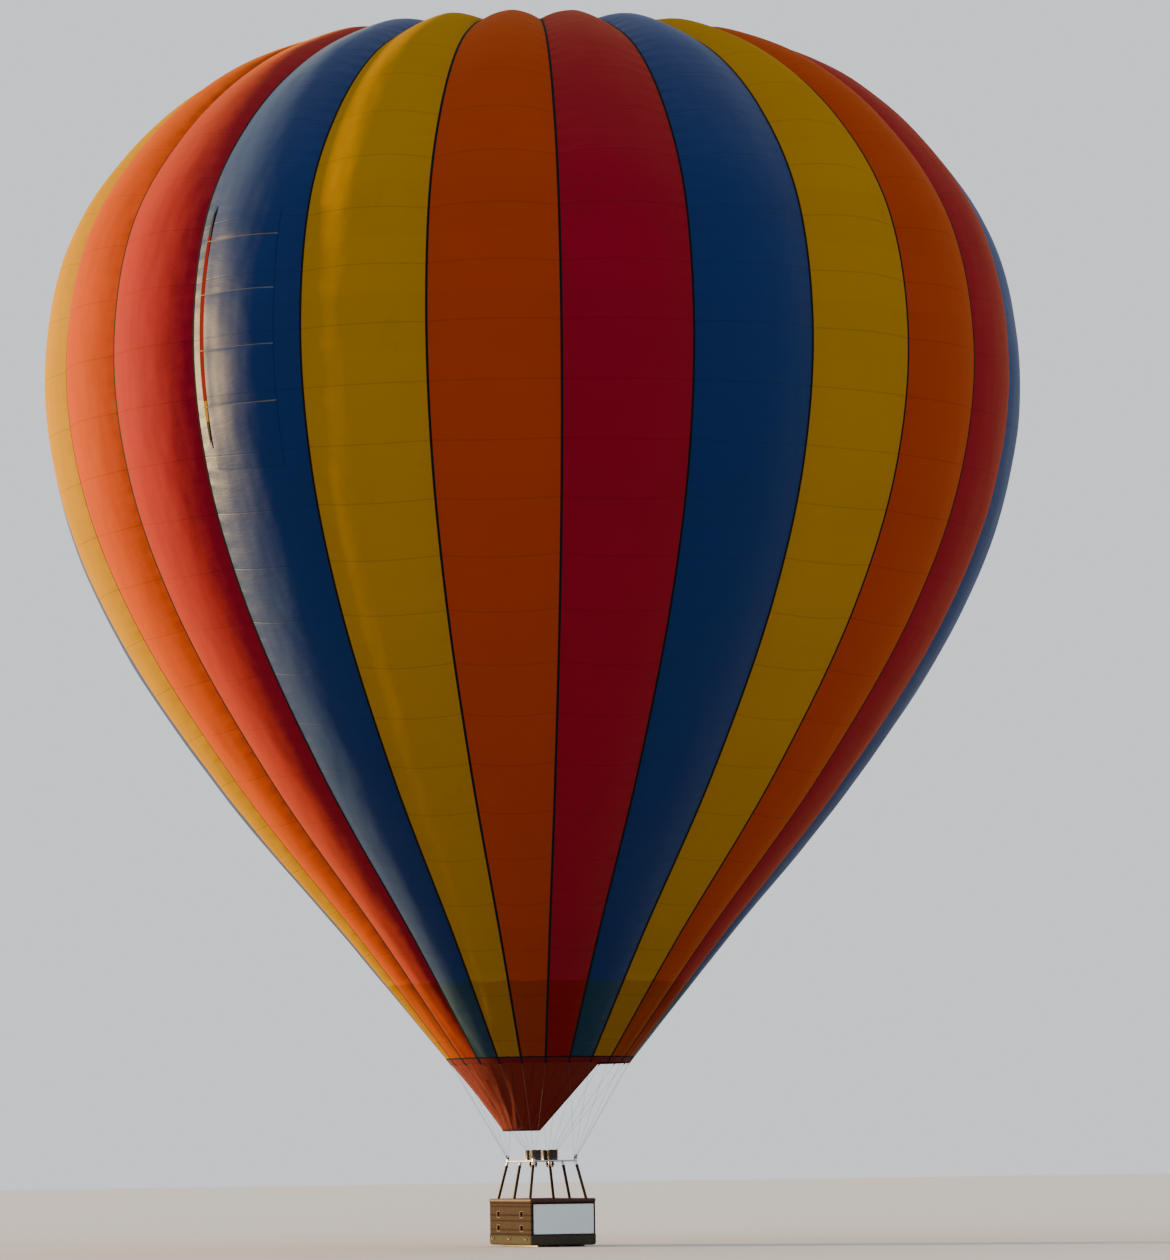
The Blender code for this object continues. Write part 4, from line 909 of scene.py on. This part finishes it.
def holeFaces(stations, heights, less):  # the faces that the step holes leave out
    wide, tall = basket["hole"]
    rows = [j for j, (low, high) in enumerate(zip(heights, heights[1:]))
            if any(abs((low + high) / 2 - h) < tall - less for h in basket["holeHeights"])]
    return {(j, i) for i, (here, there) in enumerate(zip(stations, stations[1:] + stations[:1])) for j in rows
            if abs(here[3]) == abs(there[3]) == 1
            and any(abs((here[0] + there[0]) / 2 - place) < wide for place in basket["holePlaces"])}


def makeWalls():
    shape = Shape()
    stations = outlineStations(0, basket["cell"])
    rowHeights = [basket["firstRow"] + basket["row"] * k for k in range(basket["rows"])]
    heights = [basket["low"], *rowHeights, basket["top"]]
    rows, spots = [], []
    for j, h in enumerate(heights):
        relief = basket["relief"] if 0 < j < len(heights) - 1 else 0
        rows.append([stationSpot(station, relief * (1 if (i // 2 + j) % 2 else -0.3) - basket["behind"], h)
                     for i, station in enumerate(stations)])
        spots.append([(station[4], h, float(j in basket["bandRows"])) for station in stations])
    shape.grid(rows, 0, spots, True, holeFaces(stations, heights, 0))
    stations = outlineStations(-basket["wall"], basket["cell"] * 2, 3)[::-1]
    heights = [basket["low"], *rowHeights[::2], basket["top"]]
    shape.grid([[stationSpot(station, 0, h) for station in stations] for h in heights], 0,
               [[(station[4], h, 0.0) for station in stations] for h in heights], True,
               holeFaces(stations, heights, 0.006))
    shape.grid([[stationSpot(station, 0, basket["top"]) for station in outlineStations(-offset, 0.04, 3)]
                for offset in (basket["behind"], basket["wall"])], 0, None, True)
    wide, tall = basket["hole"]
    loop = [[math.copysign(abs(way) ** basket["holeShape"], way) for way in (math.cos(t), math.sin(t))]
            for t in circle(32)]
    for side in (-1, 1):  # leather round each step hole
        for place in basket["holePlaces"]:
            for height in basket["holeHeights"]:
                rings = [[at(place + (wide + grow) * x, side * (basket["width"] + out), height + (tall + grow) * z)
                          for x, z in loop] for grow, out in basket["holeRim"]]
                shape.grid(rings + rings[:1], 1, None, True)
    for _, along, across in uprights:  # seats for the uprights
        _, foot, down = uprightLine(along, across)
        lowest = foot.z - burnerFrame["upright"] * down.xy.length
        spot = Vector((across * (basket["width"] - basket["wall"] - 0.038), foot.y, lowest - 0.0303))
        shape.block(spot, burnerFrame["seat"], 1, 0.005)
    shape.make("basket_walls_cane", "wicker rim", "wicker", 70, weld=False)


# Padded rim with its quilting, and lacing over its foot
rim = {"sides": 14, "quilt": 0.085, "puff": 0.035, "middle": (-0.02, 1.1705), "half": (0.037, 0.0465),
       "lace": 0.0022, "lacing": ((0.004, 1.105), (0.014, 1.128), (0.0195, 1.150), (0.0195, 1.168))}


def makeRim():
    shape = Shape()
    stations = outlineStations(0, 0.02)
    puffs = [1 + rim["puff"] * abs(math.sin(station[4] * math.pi / rim["quilt"])) for station in stations]
    (out, height), (thick, tall) = rim["middle"], rim["half"]
    rows = [[stationSpot(station, out + thick * math.cos(t) * puff, height + tall * math.sin(t) * puff)
             for station, puff in zip(stations, puffs)] for t in circle(rim["sides"])]
    shape.grid(rows + rows[:1], 0, None, True)
    for step in range(int(stations[-1][4] / rim["quilt"])):
        station = nearest(stations, (step + 0.5) * rim["quilt"])
        shape.tube([stationSpot(station, o, h) for o, h in rim["lacing"]], rim["lace"], 5, 1)
    shape.make("basket_rim_leather", "rim sleeve", "rim_leather", 60)


# Raw hide round the foot of the walls, its lacing, and rope handles on both long sides and on the far end
hide = {"outline": ((0.0006, 0.300), (0.004, 0.310), (0.009, 0.306), (0.009, 0.20), (0.0088, 0.105), (0.004, 0.072),
                    (-0.024, 0.046), (-0.078, 0.037)),
        "scallop": 0.018, "scallopLong": 0.20, "wave": 0.0012, "lace": 0.0028, "laceStep": 0.10, "laceOut": 0.0105,
        "lacing": ((-0.022, 0.262), (0.0, 0.285), (0.022, 0.308))}
handle = {"height": 0.245, "radius": 0.010, "side": 0.872, "end": 1.732, "alongs": (-1.35, 0.0, 1.35),
          "acrosses": (-0.55, 0.55),
          "curve": ((-0.10, -0.004, 0.0), (-0.10, 0.018, 0.006), (-0.085, 0.030, 0.03), (-0.045, 0.036, 0.058),
                    (0.0, 0.038, 0.066), (0.045, 0.036, 0.058), (0.085, 0.030, 0.03), (0.10, 0.018, 0.006),
                    (0.10, -0.004, 0.0))}


def makeHideBand():
    shape = Shape()
    stations = outlineStations(0, 0.04)
    rows = []
    for n, (out, height) in enumerate(hide["outline"]):
        row = []
        for station in stations:
            run = station[4]
            wave = hide["wave"] * noise.noise(Vector((run * 5, height * 9, 2.0))) if 1 < n < 6 else 0
            drop = hide["scallop"] * abs(math.sin(run * math.pi / hide["scallopLong"])) if n < 3 else 0
            row.append(stationSpot(station, out + wave, height - drop))
        rows.append(row)
    shape.grid(rows, 0, None, True)
    for step in range(int(stations[-1][4] / hide["laceStep"])):
        station = nearest(stations, step * hide["laceStep"])
        _, _, na, nb, _ = station
        for way in (-1, 1):
            shape.tube([stationSpot(station, hide["laceOut"], h) + Vector((na, nb, 0)) * s * way
                        for s, h in hide["lacing"]], hide["lace"], 5, 1)
    shape.make("hide_band_leather", "hide sleeve", "hide", 60)
    ropes, high, curve = Shape(), handle["height"], handle["curve"]
    paths = [[at(along + x, side * (handle["side"] + o), high - d) for x, o, d in curve]
             for along in handle["alongs"] for side in (-1, 1)]
    paths += [[at(-handle["end"] - o, across + x, high - d) for x, o, d in (*curve[:3], curve[4], *curve[6:])]
              for across in handle["acrosses"]]
    for path in paths:
        ropes.tube(path, handle["radius"], 8)
    ropes.make("rope_handles", "lace", angle=60)


# Floor on its runners, the T-partitions and the fuel cylinders
inside = {
    "floor": (0.056, 0.0845), "floorEdge": -0.0205, "runners": (-0.58, 0, 0.58), "runner": (0.09, 3.0, 0.055),
    "bolts": 1.3, "wallMiddle": 0.5677, "wallHalf": 0.4815, "roll": 0.030,
    "walls": ((0.45, 1.648, 0.046, 80), (1.08, 0.046, 1.209, 60)),
}
cylinder = {
    "places": ((0.20, 0.62), (0.20, -0.62), (-0.20, 0.62), (-0.20, -0.62)), "straps": (0.24, 0.60), "strap": 0.1765,
    "foot": ((0.0, 0.004), (0.125, 0.004), (0.130, 0.0), (0.143, 0.0), (0.150, 0.02), (0.172, 0.06)),
    "quilts": 20, "top": ((0.172, 0.745), (0.155, 0.80), (0.112, 0.845)),
    "dome": ((0.112, 0.845), (0.104, 0.86), (0.0, 0.872)),
    "collar": ((0.110, 0.850), (0.111, 0.944), (0.108, 0.9495), (0.102, 0.9495), (0.101, 0.944), (0.101, 0.850)),
    "valves": ((0.865, 0.905, 0.020, 2), (0.905, 0.925, 0.028, 3)), "outlet": (0.893, 0.055, 0.009),
}


def makeFloor():
    shape = Shape()
    edge = [station[:2] for station in outlineStations(inside["floorEdge"], 0.1)]
    count = len(edge)
    shape.add([at(a, b, h) for h in inside["floor"] for a, b in edge],
              [list(range(count))[::-1], list(range(count, 2 * count))]
              + [[i, (i + 1) % count, count + (i + 1) % count, count + i] for i in range(count)])
    for across in inside["runners"]:
        shape.block(at(0, across, inside["runner"][2] / 2), inside["runner"], 1, 0.006)
        for along in spread(-inside["bolts"], inside["bolts"], 4):
            shape.tube([at(along, across, h) for h in (inside["floor"][1], 0.0875)], 0.010, 12, 2)
    shape.make("basket_floor_boards", "plywood runner steel", "plywood", 35)


def makePartitions():
    for name, side in (("near", 1), ("far", -1)):
        shape = Shape()
        for along, wide, deep, count in inside["walls"]:
            centre = at(side * along, 0, inside["wallMiddle"])
            corners = [(sx * wide / 2, sy * deep / 2) for sx, sy in ((-1, -1), (1, -1), (1, 1), (-1, 1))]
            ring = []
            for (x0, y0), (x1, y1) in zip(corners, corners[1:] + corners[:1]):
                steps = count if max(abs(x1 - x0), abs(y1 - y0)) > 0.5 else 2
                ring += [(x0 + (x1 - x0) * i / steps, y0 + (y1 - y0) * i / steps) for i in range(steps)]
            heights = spread(-inside["wallHalf"], inside["wallHalf"], 60)
            shape.grid([[centre + Vector((x, y, h)) for x, y in ring] for h in heights], 0,
                       [[(x + y, h + 0.6, 0.0) for x, y in ring] for h in heights], True)
            half = Vector((wide / 2, 0, 0) if wide > deep else (0, deep / 2, 0))
            shape.tube([half * t + up(0.482) for t in spread(-1, 1, 20)], inside["roll"], 14, 1, base=centre)
        shape.make(f"partition_{name}_cane", "wicker rim", "wicker", 60)


def makeCylinders():
    quilting = [(0.1775 - 0.004 * (i % 2), 0.09 + i * 0.032) for i in range(cylinder["quilts"])]
    for number, (along, across) in enumerate(cylinder["places"]):
        shape = Shape()
        base = at(along, across, basket["low"])
        shape.lathe([*cylinder["foot"], *quilting, *cylinder["top"]], base, 32)
        for part in ("dome", "collar"):
            shape.lathe(cylinder[part], base, 32, 1)
        for low, high, radius, slot in cylinder["valves"]:
            shape.tube([up(low), up(high)], radius, 12, slot, base=base)
        height, half, radius = cylinder["outlet"]
        shape.pin(base + up(height), Vector((0, half, 0)), radius, 10, 2)
        for h in cylinder["straps"]:
            shape.level(base + up(h), cylinder["strap"], 0.0035, 40, 6, 4)
        shape.make(f"fuel_cylinder_{number + 1}_jacket", "jacket steel brass grip tape", "cylinder_jacket")


# Blank banner with its eyelets and ties
banner = {"wide": 1.60, "tall": 0.75, "bottom": 0.325, "front": 1.7356, "hem": 0.03, "cloth": 0.002, "eye": 0.010,
          "eyes": 0.76, "eyeIn": 0.018, "eyeOut": 0.003,
          "tie": ((0.003, 0.0, 0.0), (0.006, 0.002, 0.014), (0.005, 0.004, 0.030), (-0.002, 0.003, 0.044))}


def bannerSpot(x, z, back):
    wide, tall = banner["wide"], banner["tall"]
    edge = min(1.0, z / 0.15, (tall - z) / 0.08, (wide / 2 - abs(x)) / 0.10)
    wave = 0.0035 * math.sin(x * 7 + z * 3) + 0.005 * noise.noise(Vector((x * 2.4, z * 3.2, 5.0)))
    hem = 0.0008 if z < banner["hem"] or z > tall - banner["hem"] else 0.0
    return at(banner["front"] + wave * edge + hem - back, x, banner["bottom"] + z)


def makeBanner():
    shape = Shape()
    wide, tall, front, bottom = (banner[key] for key in ("wide", "tall", "front", "bottom"))
    shape.cloth(bannerSpot, spread(-wide / 2, wide / 2, 64), spread(0, tall, 30), (0, banner["cloth"]))
    piece = shape.make("banner_sheet", "banner", "banner_vinyl", 60)
    trim = Shape()
    for x in spread(-banner["eyes"], banner["eyes"], 6):
        for z, way in ((banner["eyeIn"], -1), (tall - banner["eyeIn"], 1)):
            eye = at(front + banner["eyeOut"], x, bottom + z)
            trim.hoop(eye, beside(0) * banner["eye"], up(banner["eye"]), 0.0028, 14, 6)
            trim.tube([at(front + o, x + s, bottom + z + way * h) for o, s, h in banner["tie"]], 0.0032, 6, 1)
    trim.make("banner_ties", "brass lace", angle=60)


for stage, job in (("gores", makeGores), ("tapes", makeTapes), ("parachute vent", makeParachuteVent),
                   ("turning vents", makeTurningVents), ("scoop", makeScoop), ("wires", makeWires),
                   ("burner frame", makeFrame), ("uprights", makeUprights), ("gimbal", makeGimbal),
                   ("burners", makeBurners), ("basket walls", makeWalls), ("rim", makeRim),
                   ("hide band", makeHideBand), ("floor", makeFloor), ("partitions", makePartitions),
                   ("cylinders", makeCylinders), ("banner", makeBanner)):
    job()
    print("made:", stage)


# Floor, light and camera
studio = {"floor": (0.60, 0.59, 0.575), "floorHalf": 420, "floorDrop": 0.004, "world": (0.92, 0.94, 1.0),
          "worldStrength": 1.0, "sunAzimuth": -134.0, "sunHeight": 3.0, "sunEnergy": 18.0,
          "sunColour": (1.0, 0.66, 0.25), "sunSoft": 5.0}


def makeStudio():
    ticks = spread(-studio["floorHalf"], studio["floorHalf"], 6)
    shape = Shape()
    shape.grid([[Vector((x, y, ground - studio["floorDrop"])) for x in ticks] for y in ticks])
    mesh = bpy.data.meshes.new("floor")
    mesh.from_pydata(shape.verts, [], shape.faces)
    mesh.materials.append(makePlain("floorFinish", studio["floor"], 0.9, 0.05, 0.0, 0.02))
    addObject("floor", mesh)
    world = bpy.data.worlds.new("studio")
    world.use_nodes = True
    sky = Net(world.node_tree, "Background")
    sky.set("Color", (*studio["world"], 1.0))
    sky.set("Strength", studio["worldStrength"])
    bpy.context.scene.world = world
    lamp = bpy.data.lights.new("key", "SUN")
    lamp.energy, lamp.color, lamp.angle = studio["sunEnergy"], studio["sunColour"], math.radians(studio["sunSoft"])
    light = addObject("key", lamp)
    lift = math.radians(studio["sunHeight"])
    toSun = outward(math.radians(studio["sunAzimuth"])) * math.cos(lift) + up(math.sin(lift))
    light.rotation_mode = "QUATERNION"
    light.rotation_quaternion = toSun.to_track_quat("Z", "Y")


view = {"azimuth": -18.35, "distance": 150.0, "eye": 2.17, "pitch": 5.20, "yaw": 0.494, "roll": 0.75, "lens": 166.5,
        "sensor": 36.0, "clip": (1.0, 1500.0)}


def makeCamera():
    data = bpy.data.cameras.new("camera")
    data.sensor_fit, data.sensor_width, data.sensor_height = "AUTO", view["sensor"], view["sensor"]
    data.lens = view["lens"]
    data.clip_start, data.clip_end = view["clip"]
    camera = addObject("camera", data)
    bpy.context.scene.camera = camera
    back = outward(math.radians(view["azimuth"]))
    camera.location = back * view["distance"] + up(ground + view["eye"])
    turn = (-back).to_track_quat("-Z", "Y").to_matrix()
    for angle, axis in ((-view["yaw"], "Y"), (view["pitch"], "X"), (-view["roll"], "Z")):
        turn = turn @ Matrix.Rotation(math.radians(angle), 3, axis)
    camera.rotation_mode = "QUATERNION"
    camera.rotation_quaternion = turn.to_quaternion()


makeStudio()
makeCamera()
